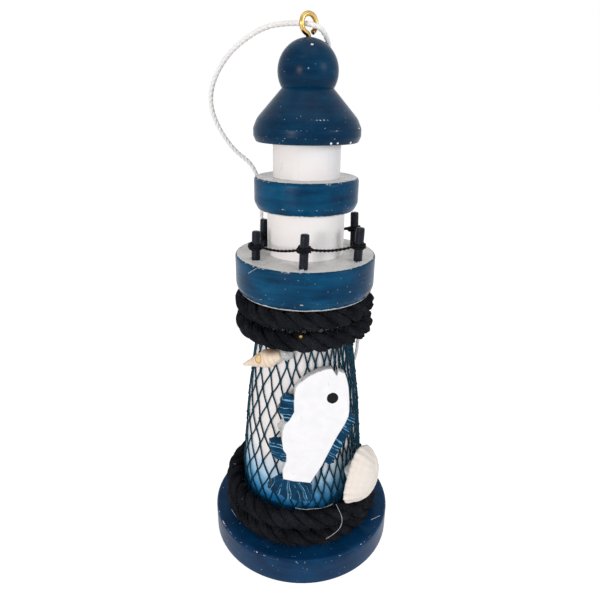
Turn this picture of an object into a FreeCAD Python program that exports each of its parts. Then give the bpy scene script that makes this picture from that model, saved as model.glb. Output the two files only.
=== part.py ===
import FreeCAD, Part
import math
import os
import re

import Sketcher
from FreeCAD import Placement, Rotation, Vector

# Lighthouse garden ornament: turned and painted wood, cotton rope, a fishing net, a wooden fish and two sea
# shells, hung by a cord through a brass screw eye. Millimetres, +Z up, -Y is the side with the fish, and the
# origin is the centre of the base disc's underside.

SIZES = [
    # turned wooden pieces, from the bottom up
    ("base_radius", 31.1),
    ("base_thickness", 9.6),
    ("edge_chamfer", 0.7),
    ("tower_height", 80.8),
    ("tower_foot_radius", 20.1),
    ("tower_foot_length", 18.4),
    ("tower_waist_radius", 18.1),
    ("tower_waist_height", 42.4),
    ("tower_top_radius", 14.9),
    ("tower_top_length", 15.2),
    ("tenon_radius", 5.0),
    ("tenon_length", 5.4),
    ("glue_gap", 0.05),
    ("gallery_radius", 21.3),
    ("gallery_thickness", 11.9),
    ("gallery_bevel", 2.0),
    ("neck_radius", 11.5),
    ("neck_length", 13.3),
    ("lantern_radius", 9.7),
    ("lantern_length", 9.5),
    ("upper_disc_radius", 15.2),
    ("upper_disc_thickness", 9.3),
    ("upper_disc_bevel", 1.6),
    ("roof_underside_radius", 14.4),
    ("roof_rim_radius", 15.15),
    ("roof_rim_bevel", 1.7),
    ("roof_rim_face", 1.8),
    ("roof_rim_height", 6.3),
    ("roof_rim_top_radius", 14.05),
    ("roof_cone_height", 7.7),
    ("roof_crease_radius", 7.15),
    ("ball_radius", 8.3),
    # screw eye
    ("eye_wire_radius", 0.67),
    ("eye_ring_radius", 2.35),
    ("eye_ring_rise", 3.15),
    ("eye_turn_angle", 37.0),
    ("eye_shank_length", 9.0),
    # gallery fence
    ("post_radius", 1.3),
    ("post_height", 9.9),
    ("post_socket_depth", 2.0),
    ("post_circle_radius", 18.3),
    ("rail_height", 5.6),
    ("rail_twine_radius", 0.45),
    ("rail_sag", 0.8),
    ("rail_tail_length", 3.0),
    # rope
    ("lower_rope_diameter", 6.2),
    ("upper_rope_diameter", 6.2),
    ("rope_turn_gap", 0.5),
    ("rope_seat_gap", 0.25),
    # net
    ("net_thickness", 0.45),
    ("net_gap", 0.1),
    ("net_twine_width", 0.5),
    ("net_end_gap", 0.3),
    ("net_meshes_around", 33.0),
    ("net_mesh_rows", 9.0),
    # fish
    ("fish_length", 46.0),
    ("fish_thickness", 2.8),
    ("fish_height", 40.4),
    ("fish_stand_off", 0.8),
    ("fish_turn_angle", 8.0),
    ("fish_lean_angle", 6.7),
    ("fish_pad_radius", 3.5),
    # shells
    ("spiral_length", 13.2),
    ("spiral_radius", 2.9),
    ("scallop_width", 19.7),
    ("scallop_height", 14.5),
    ("scallop_depth", 6.0),
    ("scallop_wall", 1.1),
    ("scallop_stand_off", 3.4),
    ("scallop_lift", 9.4),
    ("scallop_glue_radius", 6.0),
    ("spiral_glue_radius", 2.6),
    # brad in the upper rope
    ("brad_head_radius", 0.55),
    ("brad_head_thickness", 0.5),
    ("brad_shank_radius", 0.2),
    ("brad_depth", 3.0),
    # hanging cord
    ("cord_diameter", 1.4),
    ("knot_radius", 2.2),
]

# Fence posts: place round the gallery, lean, and the direction of the lean, all in degrees, then the shares of
# the posts' circle, of their height and of the rail's height that each one has. 270 is the front.
POSTS = [
    (268.5, 2.0, 0.0, 1.0, 1.0, 1.0),
    (213.4, 2.0, 0.0, 0.934, 0.85, 0.70),
    (157.0, 1.0, 0.0, 0.776, 0.87, 0.64),
    (90.0, 1.0, 0.0, 0.956, 0.96, 0.82),
    (24.3, 2.0, 180.0, 0.929, 1.10, 1.0),
    (327.4, 2.2, 0.0, 0.978, 1.0, 0.82),
]

# Outline of the fish on its own face, right and up from its middle, at its length of 46. "arc" marks the
# middle of a curved stretch.
FISH_OUTLINE_LENGTH = 46.0
FISH_OUTLINE = [
    (6.6, 20.8),
    (7.6, 19.2),
    (8.6, 21.2),
    ("arc", 10.4, 19.0),
    (11.1, 15.5),
    (11.6, 7.4),
    (13.3, 5.3),
    ("arc", 10.6, -2.4),
    (6.6, -9.9),
    (4.0, -9.3),
    ("arc", 1.1, -12.6),
    (-0.7, -16.4),
    (0.2, -23.0),
    ("arc", -7.4, -21.9),
    (-13.9, -17.6),
    (-9.1, -13.5),
    (-8.9, -8.3),
    (-8.0, -7.9),
    ("arc", -12.0, -5.8),
    (-12.9, -1.0),
    (-9.2, -0.4),
    (-8.2, 5.2),
    ("arc", -10.2, 9.6),
    (-6.9, 14.2),
    (-4.6, 13.6),
    ("arc", 1.0, 17.8),
]
FISH_PADS = [(-6.5, 2.5), (1.5, -2.0)]

# Route of the hanging cord, from the knot up behind the ornament, out to the left, through the screw eye and
# down again behind it. The points are chosen, and the limp cord follows them.
CORD_ROUTE = [
    (-1.6, 22.8, 38.5),
    (-4.5, 22.4, 55.0),
    (-10.0, 22.0, 74.0),
    (-15.6, 19.0, 92.0),
    (-14.6, 18.4, 111.0),
    (-15.8, 17.4, 125.0),
    (-24.5, 15.4, 131.5),
    (-30.4, 12.6, 144.5),
    (-24.5, 10.0, 156.5),
    (-13.5, 5.4, 163.6),
    (-5.4, 2.2, 164.5),
    (2.6, -0.9, 163.8),
    (6.6, 2.4, 159.8),
    (6.9, 9.0, 153.5),
    (6.0, 14.6, 147.0),
    (5.4, 17.6, 131.0),
    (9.5, 20.6, 112.0),
    (14.4, 20.6, 93.0),
    (18.6, 18.2, 76.0),
    (20.4, 17.0, 58.0),
    (13.5, 20.6, 43.5),
    (1.6, 22.8, 38.5),
]

ALIASES = re.compile(r"\b(" + "|".join(alias for alias, _ in SIZES) + r")\b")

doc = FreeCAD.newDocument("Lighthouse")
sheet = doc.addObject("Spreadsheet::Sheet", "Sizes")
for row, (alias, number) in enumerate(SIZES, start=1):
    sheet.set(f"A{row}", alias)
    sheet.set(f"B{row}", str(number))
    sheet.setAlias(f"B{row}", alias)
doc.recompute()


def size(expression):
    """The number that an expression of the sheet's aliases gives."""
    return float(sheet.evalExpression(expression))


def bound(expression):
    """The same expression as the document's other objects write it."""
    return ALIASES.sub(r"Sizes.\1", expression)


# Heights and radii that several pieces share.
GALLERY_UNDERSIDE = "(base_thickness + tower_height)"
GALLERY_TOP = f"({GALLERY_UNDERSIDE} + gallery_thickness)"
NECK_TOP = f"({GALLERY_TOP} + neck_length)"
LANTERN_TOP = f"({NECK_TOP} + upper_disc_thickness + lantern_length)"
RIM_TOP = f"({LANTERN_TOP} + roof_rim_height)"
CREASE = f"({RIM_TOP} + roof_cone_height)"
BALL_CENTRE = f"({CREASE} + sqrt(ball_radius ^ 2 - roof_crease_radius ^ 2))"
BALL_TOP = f"({BALL_CENTRE} + ball_radius)"
FOOT_TOP = "(base_thickness + tower_foot_length)"
WAIST = "(base_thickness + tower_waist_height)"
CONE_TOP = f"({GALLERY_UNDERSIDE} - tower_top_length)"
NET_OUTER = "(net_gap + net_thickness)"
SOCKET_RADIUS = "(tenon_radius + glue_gap)"
SOCKET_DEPTH = "(tenon_length + glue_gap)"
PILOT_RADIUS = "(eye_wire_radius + glue_gap)"
EASED = 0.3  # share of a bevel where its two flats meet


# ------------------------------------------------------------------------------ turned pieces
def turned(name, outline):
    """A body turned about Z from a list of (radius, height) expressions, counter-clockwise. A third entry is
    the radius of the rounded stretch from that corner to the next."""
    body = doc.addObject("PartDesign::Body", name)
    sketch = body.newObject("Sketcher::SketchObject", name + "_outline")
    plane = [item for item in body.Origin.OriginFeatures if item.Role == "XZ_Plane"][0]
    sketch.AttachmentSupport = [(plane, "")]
    sketch.MapMode = "FlatFace"
    corners = [Vector(size(item[0]), size(item[1]), 0) for item in outline]
    for i, item in enumerate(outline):
        start, end = corners[i], corners[(i + 1) % len(corners)]
        if len(item) == 2:
            sketch.addGeometry(Part.LineSegment(start, end), False)
            continue
        radius = size(item[2])
        half = (end - start) * 0.5
        outward = Vector(half.y, -half.x, 0).normalize()
        rise = radius - math.sqrt(radius**2 - half.Length**2)
        sketch.addGeometry(Part.Arc(start, start + half + outward * rise, end), False)
        rounding = sketch.addConstraint(Sketcher.Constraint("Radius", i, radius))
        sketch.renameConstraint(rounding, f"rounding_{i}")
        sketch.setExpression(f"Constraints.rounding_{i}", bound(item[2]))
    for i, item in enumerate(outline):
        sketch.addConstraint(Sketcher.Constraint("Coincident", i, 2, (i + 1) % len(corners), 1))
        if item[0] == "0":
            sketch.addConstraint(Sketcher.Constraint("PointOnObject", i, 1, -2))
        else:
            radial = sketch.addConstraint(Sketcher.Constraint("DistanceX", -1, 1, i, 1, corners[i].x))
            sketch.renameConstraint(radial, f"radius_{i}")
            sketch.setExpression(f"Constraints.radius_{i}", bound(item[0]))
        level = sketch.addConstraint(Sketcher.Constraint("DistanceY", -1, 1, i, 1, corners[i].y))
        sketch.renameConstraint(level, f"height_{i}")
        sketch.setExpression(f"Constraints.height_{i}", bound(item[1]))
    turning = body.newObject("PartDesign::Revolution", name + "_turning")
    turning.Profile = sketch
    turning.ReferenceAxis = (sketch, ["V_Axis"])
    turning.Angle = 360
    return body


def feature(name, shape):
    """An object of the document whose shape is worked out here."""
    item = doc.addObject("Part::Feature", name)
    item.Shape = shape
    return item


def cut(name, base, tool):
    """base without tool, as a feature of the document."""
    item = doc.addObject("Part::Cut", name)
    item.Base = base
    item.Tool = tool
    return item


turned(
    "base_disc",
    [
        ("0", "0"),
        ("base_radius - edge_chamfer / 2", "0"),
        ("base_radius", "edge_chamfer / 2"),
        ("base_radius", "base_thickness - edge_chamfer"),
        ("base_radius - edge_chamfer", "base_thickness"),
        (SOCKET_RADIUS, "base_thickness"),
        (SOCKET_RADIUS, f"base_thickness - {SOCKET_DEPTH}"),
        ("0", f"base_thickness - {SOCKET_DEPTH}"),
    ],
)

tower_blank = turned(
    "tower_blank",
    [
        ("0", "base_thickness - tenon_length"),
        ("tenon_radius", "base_thickness - tenon_length"),
        ("tenon_radius", "base_thickness"),
        ("tower_foot_radius", "base_thickness"),
        ("tower_foot_radius", FOOT_TOP),
        ("tower_waist_radius", WAIST),
        ("tower_top_radius", CONE_TOP),
        ("tower_top_radius", GALLERY_UNDERSIDE),
        ("tenon_radius", GALLERY_UNDERSIDE),
        ("tenon_radius", f"{GALLERY_UNDERSIDE} + tenon_length"),
        ("0", f"{GALLERY_UNDERSIDE} + tenon_length"),
    ],
)

gallery_blank = turned(
    "gallery_blank",
    [
        (SOCKET_RADIUS, GALLERY_UNDERSIDE),
        ("gallery_radius - gallery_bevel", GALLERY_UNDERSIDE),
        (f"gallery_radius - {EASED} * gallery_bevel", f"{GALLERY_UNDERSIDE} + {EASED} * gallery_bevel"),
        ("gallery_radius", f"{GALLERY_UNDERSIDE} + gallery_bevel"),
        ("gallery_radius", f"{GALLERY_TOP} - edge_chamfer / 2"),
        ("gallery_radius - edge_chamfer / 2", GALLERY_TOP),
        (SOCKET_RADIUS, GALLERY_TOP),
    ],
)

turned(
    "lantern_spindle",
    [
        ("0", f"{GALLERY_TOP} - tenon_length"),
        ("tenon_radius", f"{GALLERY_TOP} - tenon_length"),
        ("tenon_radius", GALLERY_TOP),
        ("neck_radius", GALLERY_TOP),
        ("neck_radius", NECK_TOP),
        ("lantern_radius", NECK_TOP),
        ("lantern_radius", LANTERN_TOP),
        ("tenon_radius", LANTERN_TOP),
        ("tenon_radius", f"{LANTERN_TOP} + tenon_length"),
        ("0", f"{LANTERN_TOP} + tenon_length"),
    ],
)

turned(
    "upper_disc",
    [
        ("lantern_radius + glue_gap", NECK_TOP),
        ("upper_disc_radius - upper_disc_bevel", NECK_TOP),
        (f"upper_disc_radius - {EASED} * upper_disc_bevel", f"{NECK_TOP} + {EASED} * upper_disc_bevel"),
        ("upper_disc_radius", f"{NECK_TOP} + upper_disc_bevel"),
        ("upper_disc_radius", f"{NECK_TOP} + upper_disc_thickness - edge_chamfer / 2"),
        ("upper_disc_radius - edge_chamfer / 2", f"{NECK_TOP} + upper_disc_thickness"),
        ("lantern_radius + glue_gap", f"{NECK_TOP} + upper_disc_thickness"),
    ],
)

turned(
    "roof_cap",
    [
        ("0", f"{LANTERN_TOP} + {SOCKET_DEPTH}"),
        (SOCKET_RADIUS, f"{LANTERN_TOP} + {SOCKET_DEPTH}"),
        (SOCKET_RADIUS, LANTERN_TOP),
        ("roof_underside_radius", LANTERN_TOP),
        ("roof_rim_radius", f"{LANTERN_TOP} + roof_rim_bevel"),
        ("roof_rim_radius", f"{LANTERN_TOP} + roof_rim_bevel + roof_rim_face"),
        ("roof_rim_top_radius", RIM_TOP),
        ("roof_crease_radius", CREASE, "ball_radius"),
        (PILOT_RADIUS, f"{BALL_CENTRE} + sqrt(ball_radius ^ 2 - {PILOT_RADIUS} ^ 2)"),
        (PILOT_RADIUS, f"{BALL_TOP} - eye_shank_length - glue_gap"),
        ("0", f"{BALL_TOP} - eye_shank_length - glue_gap"),
    ],
)


# ---------------------------------------------------------------------------------- wire, cord and rope
def polar(radius, degrees, height=0.0):
    angle = math.radians(degrees)
    return Vector(radius * math.cos(angle), radius * math.sin(angle), height)


def regular_section(centre, along, radius, sides):
    """A closed wire with that many sides, or a circle for 0, square to the direction along."""
    if sides == 0:
        return Part.Wire([Part.makeCircle(radius, centre, along)])
    frame = Rotation(Vector(0, 0, 1), along)
    points = [centre + frame.multVec(polar(radius, 360.0 * (i + 0.5) / sides)) for i in range(sides)]
    return Part.makePolygon(points + points[:1])


def tube(path, start, along, radius, sides):
    """A solid of that section all along a wire."""
    section = regular_section(start, along, radius, sides)
    return path.makePipeShell([section], True, False)


def faceted(rings):
    """A closed solid of flat faces through rings of as many points each, one above the other."""
    faces = [Part.Face(Part.makePolygon(ring + ring[:1])) for ring in (rings[0], rings[-1])]
    for low, high in zip(rings, rings[1:]):
        for i in range(len(low)):
            j = (i + 1) % len(low)
            faces.append(Part.Face(Part.makePolygon([low[i], low[j], high[j], high[i], low[i]])))
    return Part.Solid(Part.Shell(faces))


def faceted_turning(profile, sides, frame=Placement()):
    """A many-sided turning of (radius, height) pairs about the frame's z axis."""
    rings = [[frame.multVec(polar(r, 360.0 * (i + 0.5) / sides, z)) for i in range(sides)] for r, z in profile]
    return faceted(rings)


def tangent_arc(start, along, end):
    """The circular arc from start, leaving it in the direction along, to end."""
    chord = end - start
    reach = chord.Length
    chord.normalize()
    side = along - chord * along.dot(chord)
    turn = along.getAngle(chord)
    middle = (start + end) * 0.5 + side.normalize() * (reach / 2 * math.tan(turn / 2))
    return Part.Arc(start, middle, end).toShape()


def biarc(start, along_start, end, along_end):
    """Two tangent arcs from one point and direction to another."""
    span = end - start
    both = along_start + along_end
    curve = 2 * (1 - along_start.dot(along_end))
    if curve < 1e-9:
        reach = span.dot(span) / (2 * span.dot(both))
    else:
        slope = span.dot(both)
        reach = (-slope + math.sqrt(slope**2 + curve * span.dot(span))) / curve
    joint = (start + along_start * reach + end - along_end * reach) * 0.5
    direction = (joint - start - along_start * reach).normalize()
    return [tangent_arc(start, along_start, joint), tangent_arc(joint, direction, end)]


def winding(name, inner_radius, bottom, diameter, first_angle):
    """A rope wound twice round the tower: three quarters of a turn flat, a quarter climbing at the back, and
    three quarters of a turn lying on the first."""
    radius = inner_radius + diameter / 2
    pitch = diameter + size("rope_turn_gap")
    low = bottom + diameter / 2
    levels = [low, low, low, low, low + pitch, low + pitch, low + pitch, low + pitch]
    edges = []
    for quarter in range(7):
        angle = first_angle + 90.0 * quarter
        start = polar(radius, angle, levels[quarter])
        end = polar(radius, angle + 90, levels[quarter + 1])
        edges += biarc(start, polar(1, angle + 90), end, polar(1, angle + 180))
    path = Part.Wire(edges)
    rope = tube(path, polar(radius, first_angle, low), polar(1, first_angle + 90), diameter / 2, ROPE_SIDES)
    points = [point for edge in path.Edges for point in edge.discretize(Distance=1.0)]
    apart = int(math.pi * radius)
    least = min(
        first.distanceToPoint(second)
        for i, first in enumerate(points)
        for second in points[i + apart :]
    )
    print(f"{name}: least gap between turns {least - diameter:.2f} mm, length {path.Length:.0f} mm")
    return feature(name, rope)


ROPE_SIDES = 8
REAR_ANGLE = 135.0
winding(
    "lower_rope",
    size(f"tower_foot_radius + {NET_OUTER} + rope_seat_gap"),
    size("base_thickness + glue_gap"),
    size("lower_rope_diameter"),
    REAR_ANGLE,
)
upper_rope_bottom = size(f"{GALLERY_UNDERSIDE} - 2 * upper_rope_diameter - rope_turn_gap - rope_seat_gap")
winding(
    "upper_rope",
    size(f"tower_top_radius + {NET_OUTER} + rope_seat_gap"),
    upper_rope_bottom,
    size("upper_rope_diameter"),
    REAR_ANGLE,
)


# ------------------------------------------------------------------------------------------ screw eye
WIRE_SIDES = 12
RING_START, RING_END = 250.0, -58.0  # degrees on the ring, from where the shank joins it to the wire's cut end


def screw_eye():
    """Straight shank in the ball, a small bend, and an open ring."""
    ring_radius = size("eye_ring_radius")
    wire_radius = size("eye_wire_radius")
    ring_centre = Vector(0, 0, size(f"{BALL_TOP} + eye_ring_rise"))

    def on_ring(degrees):
        angle = math.radians(degrees)
        return ring_centre + Vector(math.cos(angle), 0, math.sin(angle)) * ring_radius

    ring_start = on_ring(RING_START)
    bend_turn = math.radians(RING_START - 180)
    bend_radius = -ring_start.x / (1 - math.cos(bend_turn))
    bend_foot = Vector(0, 0, ring_start.z - bend_radius * math.sin(bend_turn))
    shank_tip = Vector(0, 0, size(f"{BALL_TOP} - eye_shank_length"))
    path = Part.Wire(
        [
            Part.LineSegment(shank_tip, bend_foot).toShape(),
            tangent_arc(bend_foot, Vector(0, 0, 1), ring_start),
            Part.Arc(ring_start, on_ring((RING_START + 90) / 2), on_ring(90)).toShape(),
            Part.Arc(on_ring(90), on_ring((90 + RING_END) / 2), on_ring(RING_END)).toShape(),
        ]
    )
    eye = feature("screw_eye", tube(path, shank_tip, Vector(0, 0, 1), wire_radius, WIRE_SIDES))
    eye.Placement = Placement(Vector(0, 0, 0), Rotation(Vector(0, 0, 1), size("eye_turn_angle")))


screw_eye()


# --------------------------------------------------------------------------------------------- fence
def post_axis(place, lean, toward, inset):
    """Foot on the gallery's top and direction of a leaning post."""
    foot = polar(size("post_circle_radius") * inset, place, size(GALLERY_TOP))
    tilt = Rotation(Vector(0, 0, 1).cross(polar(1, toward)), lean)
    return foot, tilt


def fence_posts():
    sockets = []
    for number, (place, lean, toward, inset, tall, _) in enumerate(POSTS, start=1):
        foot, tilt = post_axis(place, lean, toward, inset)
        for name, extra in ((f"fence_post_{number}", ""), (f"post_socket_{number}", " + glue_gap")):
            stick = doc.addObject("Part::Cylinder", name)
            stick.setExpression("Radius", bound(f"post_radius{extra}"))
            stick.setExpression("Height", bound(f"post_height * {tall} + post_socket_depth"))
            sunk = size(f"post_socket_depth{extra}")
            stick.Placement = Placement(foot - tilt.multVec(Vector(0, 0, sunk)), tilt)
        sockets.append(stick)
    drilling = doc.addObject("Part::MultiFuse", "post_sockets")
    drilling.Shapes = sockets
    cut("gallery_disc", gallery_blank, drilling)


RAIL_RING_SIDES = 8
TWINE_SIDES = 6
TAIL_POST = 4  # the fifth post holds the rail's loose end
TAIL_WAY = 215.0  # degrees round the post
TAIL_RISE = 0.1


def fence_rail():
    """Twine tied round each post, hanging a little between them, with a short tail."""
    twine = size("rail_twine_radius")
    corner = 1 / math.cos(math.pi / RAIL_RING_SIDES)
    inside = size("post_radius + glue_gap")
    radii = [(inside + 2 * twine) * corner, inside * corner]
    holds = []
    pieces = []
    for place, lean, toward, inset, _, level in POSTS:
        foot, tilt = post_axis(place, lean, toward, inset)
        middle = foot + tilt.multVec(Vector(0, 0, size("rail_height") * level))
        around = [regular_section(Vector(0, 0, -twine), Vector(0, 0, 1), r, RAIL_RING_SIDES) for r in radii]
        ring = Part.Face(around[0]).cut(Part.Face(around[1])).extrude(Vector(0, 0, 2 * twine))
        ring.Placement = Placement(middle, tilt)
        pieces.append(ring)
        holds.append(middle)
    grip = inside + twine
    for i, start in enumerate(holds):
        end = holds[(i + 1) % len(holds)]
        across = (end - start).normalize()
        start, end = start + across * grip, end - across * grip
        middle = (start + end) * 0.5 - Vector(0, 0, size("rail_sag"))
        arc = Part.Arc(start, middle, end)
        leaving = arc.tangent(arc.FirstParameter)[0]
        pieces.append(tube(Part.Wire([arc.toShape()]), start, leaving, twine, TWINE_SIDES))
    tail_start = holds[TAIL_POST] + polar(grip, TAIL_WAY)
    tail_way = polar(1, TAIL_WAY, TAIL_RISE)
    tail = Part.Wire([Part.LineSegment(tail_start, tail_start + tail_way * size("rail_tail_length")).toShape()])
    pieces.append(tube(tail, tail_start, tail_way, twine, TWINE_SIDES))
    rail = pieces[0].multiFuse(pieces[1:])
    feature("fence_rail", rail.Solids[0] if len(rail.Solids) == 1 else rail)


fence_posts()
fence_rail()


# ---------------------------------------------------------------------------------------------- brad
BRAD_PLACE = 267.6  # degrees round the tower


def rope_brad():
    """A brass pin pushed in between the two turns of the upper rope, into a hole in the tower."""
    groove = upper_rope_bottom + size("upper_rope_diameter + rope_turn_gap / 2")
    head_back = size(f"tower_top_radius + {NET_OUTER} + rope_seat_gap + upper_rope_diameter - brad_head_radius")
    hole_end = size("tower_top_radius - brad_depth")
    start, inward = polar(head_back, BRAD_PLACE, groove), polar(-1, BRAD_PLACE)
    head = Part.makeCylinder(size("brad_head_radius"), size("brad_head_thickness"), start, -inward)
    shank = Part.makeCylinder(size("brad_shank_radius"), head_back - hole_end, start, inward)
    feature("rope_brad", head.fuse(shank).removeSplitter())
    hole = doc.addObject("Part::Cylinder", "brad_hole")
    hole.setExpression("Radius", bound("brad_shank_radius + glue_gap"))
    hole.Height = head_back - hole_end + size("glue_gap")
    hole.Placement = Placement(start, Rotation(Vector(0, 0, 1), inward))
    cut("tower_body", tower_blank, hole)
    return hole


brad_hole = rope_brad()


# ----------------------------------------------------------------------------------------------- net
def net_outline(offset):
    """Corners of the net's surface that far outside the wood, from the base to the gallery."""
    return [
        (f"tower_foot_radius + {offset}", "base_thickness + net_end_gap"),
        (f"tower_foot_radius + {offset}", FOOT_TOP),
        (f"tower_waist_radius + {offset}", WAIST),
        (f"tower_top_radius + {offset}", CONE_TOP),
        (f"tower_top_radius + {offset}", f"{GALLERY_UNDERSIDE} - net_end_gap"),
    ]


def net_profile(offset):
    """The same corners as (radius, height) numbers, with the flat facets' middles on that surface."""
    corner = 1 / math.cos(math.pi / size("net_meshes_around"))
    return [(size(radius) * corner, size(height)) for radius, height in net_outline(offset)]


def net_radius(height):
    """Radius of the middle of the net's thickness at a height."""
    steps = net_profile("(net_gap + net_thickness / 2)")
    for (low_radius, low), (high_radius, high) in zip(steps, steps[1:]):
        if height <= high:
            share = max(0.0, (height - low) / (high - low))
            return low_radius + (high_radius - low_radius) * share
    return steps[-1][0]


def net_diamonds():
    """Cutters for the meshes between the two ropes, staggered row by row."""
    around = int(size("net_meshes_around"))
    rows = int(size("net_mesh_rows"))
    top = upper_rope_bottom - size("rope_turn_gap")
    bottom = size("base_thickness + 2 * lower_rope_diameter + 3 * rope_turn_gap")
    half_height = (top - bottom) / (rows + 1)
    depth = 3 * size("net_thickness")
    diamonds = []
    for mesh_row in range(rows):
        height = bottom + half_height * (mesh_row + 1)
        radius = net_radius(height)
        half_width = radius * math.tan(math.pi / around)
        side = math.hypot(half_width, half_height)
        open_share = 1 - size("net_twine_width") / 2 * side / (half_width * half_height)
        for mesh in range(around):
            place = 360.0 / around * (mesh + 0.5 * (mesh_row % 2))
            out, across = polar(1, place), polar(1, place + 90)
            middle = out * (radius - depth / 2) + Vector(0, 0, height)
            wide = across * (half_width * open_share)
            tall = Vector(0, 0, half_height * open_share)
            corners = [middle + wide, middle + tall, middle - wide, middle - tall, middle + wide]
            diamonds.append(Part.Face(Part.makePolygon(corners)).extrude(out * depth))
    return Part.Compound(diamonds)


NET_SIDES = int(size("net_meshes_around"))
net_filled = faceted_turning(net_profile(NET_OUTER), NET_SIDES)
net_sleeve = feature("net_sleeve", net_filled.cut(faceted_turning(net_profile("net_gap"), NET_SIDES)))
net_openings = doc.addObject("Part::MultiFuse", "net_openings")
net_openings.Shapes = [feature("net_diamonds", net_diamonds()), brad_hole]
cut("fishing_net", net_sleeve, net_openings)


# ---------------------------------------------------------------------------------------------- fish
def fish_placement():
    """The fish's own frame: x to the right, y up along its face, z out of its face."""
    turn, lean = size("fish_turn_angle"), size("fish_lean_angle")
    upright = Rotation(Vector(1, 0, 0), 90 - lean)
    facing = Rotation(Vector(0, 0, 1), turn).multiply(upright)
    out = size(f"tower_waist_radius + {NET_OUTER} + fish_stand_off")
    middle = polar(out, 270 + turn, size("base_thickness + fish_height"))
    return Placement(middle, facing)


def fish():
    """A flat cut-out, padded outward from its back."""
    scale = size("fish_length") / FISH_OUTLINE_LENGTH
    body = doc.addObject("PartDesign::Body", "fish")
    sketch = body.newObject("Sketcher::SketchObject", "fish_outline")
    plane = [item for item in body.Origin.OriginFeatures if item.Role == "XY_Plane"][0]
    sketch.AttachmentSupport = [(plane, "")]
    sketch.MapMode = "FlatFace"
    corners = [item for item in FISH_OUTLINE if item[0] != "arc"]
    start = None
    middle = None
    for item in FISH_OUTLINE + [FISH_OUTLINE[0]]:
        if item[0] == "arc":
            middle = Vector(item[1] * scale, item[2] * scale, 0)
            continue
        end = Vector(item[0] * scale, item[1] * scale, 0)
        if start is not None and middle is None:
            sketch.addGeometry(Part.LineSegment(start, end), False)
        elif start is not None:
            sketch.addGeometry(Part.Arc(start, middle, end), False)
        start, middle = end, None
    assert sketch.GeometryCount == len(corners)
    pad = body.newObject("PartDesign::Pad", "fish_thickness_pad")
    pad.Profile = sketch
    pad.setExpression("Length", bound("fish_thickness"))
    body.Placement = fish_placement()
    return body


GLUE_SIDES = 10


def fish_glue():
    """Dabs of clear hot glue between the back of the fish and the net."""
    frame = fish_placement()
    scale = size("fish_length") / FISH_OUTLINE_LENGTH
    dabs = []
    for right, up in FISH_PADS:
        reach = size("fish_stand_off") + 4 * size("net_thickness")
        inward = frame.multiply(Placement(Vector(right * scale, up * scale, 0), Rotation(Vector(1, 0, 0), 180)))
        radius = size("fish_pad_radius")
        dab = faceted_turning([(radius * 0.85, 0), (radius, reach / 2), (radius, reach)], GLUE_SIDES, inward)
        dabs.append(dab.cut(net_filled))
    feature("fish_glue", Part.Compound([solid for dab in dabs for solid in dab.Solids]))


fish()
fish_glue()


# -------------------------------------------------------------------------------------------- shells
def between(start, end):
    """Placement with its origin at start and its z axis toward end."""
    return Placement(start, Rotation(Vector(0, 0, 1), end - start))


def dab_profile(radius):
    """A rounded dab of hot glue, about its own middle."""
    return [(radius * 0.6, -radius * 0.8), (radius, -radius * 0.25), (radius, radius * 0.25), (radius * 0.6, radius * 0.8)]


def glue_dab(name, centre, toward, radius, *neighbours):
    """What a dab of glue fills between the net and the pieces that it holds."""
    dab = faceted_turning(dab_profile(radius), GLUE_SIDES, between(centre, centre + toward)).cut(net_filled)
    for neighbour in neighbours:
        dab = dab.cut(neighbour)
    feature(name, max(dab.Solids, key=lambda solid: solid.Volume))


# Radius and distance from the mouth of the turret shell's seams and whorls, as shares of its size.
SPIRAL_WHORLS = [
    (0.42, 0.0),
    (0.80, 0.12),
    (1.0, 0.34),
    (0.90, 0.50),
    (0.76, 0.52),
    (0.66, 0.66),
    (0.52, 0.68),
    (0.42, 0.79),
    (0.32, 0.81),
    (0.22, 0.90),
    (0.05, 1.0),
]
SPIRAL_SIDES = 16
SPIRAL_PLACE = 248.0  # degrees round the tower
SPIRAL_TIP_WAY = Vector(-0.88, 0.27, -0.40)


def spiral_shell():
    """A small turret shell, its point outward, tucked under the upper rope."""
    length, radius = size("spiral_length"), size("spiral_radius")
    profile = [(radius * r, length * z) for r, z in SPIRAL_WHORLS]
    out = size(f"tower_top_radius + {NET_OUTER}")
    mouth = polar(out + radius * 0.9, SPIRAL_PLACE, upper_rope_bottom - radius * 0.75)
    shell = faceted_turning(profile, SPIRAL_SIDES, between(mouth, mouth + SPIRAL_TIP_WAY))
    feature("spiral_shell", shell)
    behind_mouth = mouth - SPIRAL_TIP_WAY - polar(radius / 2, SPIRAL_PLACE)
    glue_dab(
        "spiral_shell_glue",
        behind_mouth,
        polar(1, SPIRAL_PLACE),
        size("spiral_glue_radius"),
        shell,
        doc.upper_rope.Shape,
    )


# Distance from the beak, width and depth of the scallop's sections, as shares of its size.
SCALLOP_SECTIONS = [
    (0.0, 0.26, 0.40),
    (0.12, 0.56, 0.74),
    (0.30, 0.86, 0.96),
    (0.52, 1.0, 1.0),
    (0.74, 0.94, 0.76),
    (0.92, 0.70, 0.42),
    (1.0, 0.50, 0.20),
]
SCALLOP_RIBS = 9
SCALLOP_RIB_HEIGHT = 0.03
SCALLOP_PLACE = 319.1  # degrees round the tower
SCALLOP_FACING = 321.8
SCALLOP_TILT = 0.02
SCALLOP_MARGIN_WAY = Vector(-0.58, -0.72, 0.40)


def scallop_ring(along, width, depth, ribs):
    """Points across the dome at a distance from the beak, crest and furrow by turns, and flat below."""
    count = 2 * SCALLOP_RIBS
    points = []
    for i in range(count + 1):
        angle = math.pi * i / count
        crest = 1 + (ribs if i % 2 else 0)
        points.append(Vector(-width / 2 * math.cos(angle) * crest, along, depth * math.sin(angle) * crest))
    return points


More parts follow.
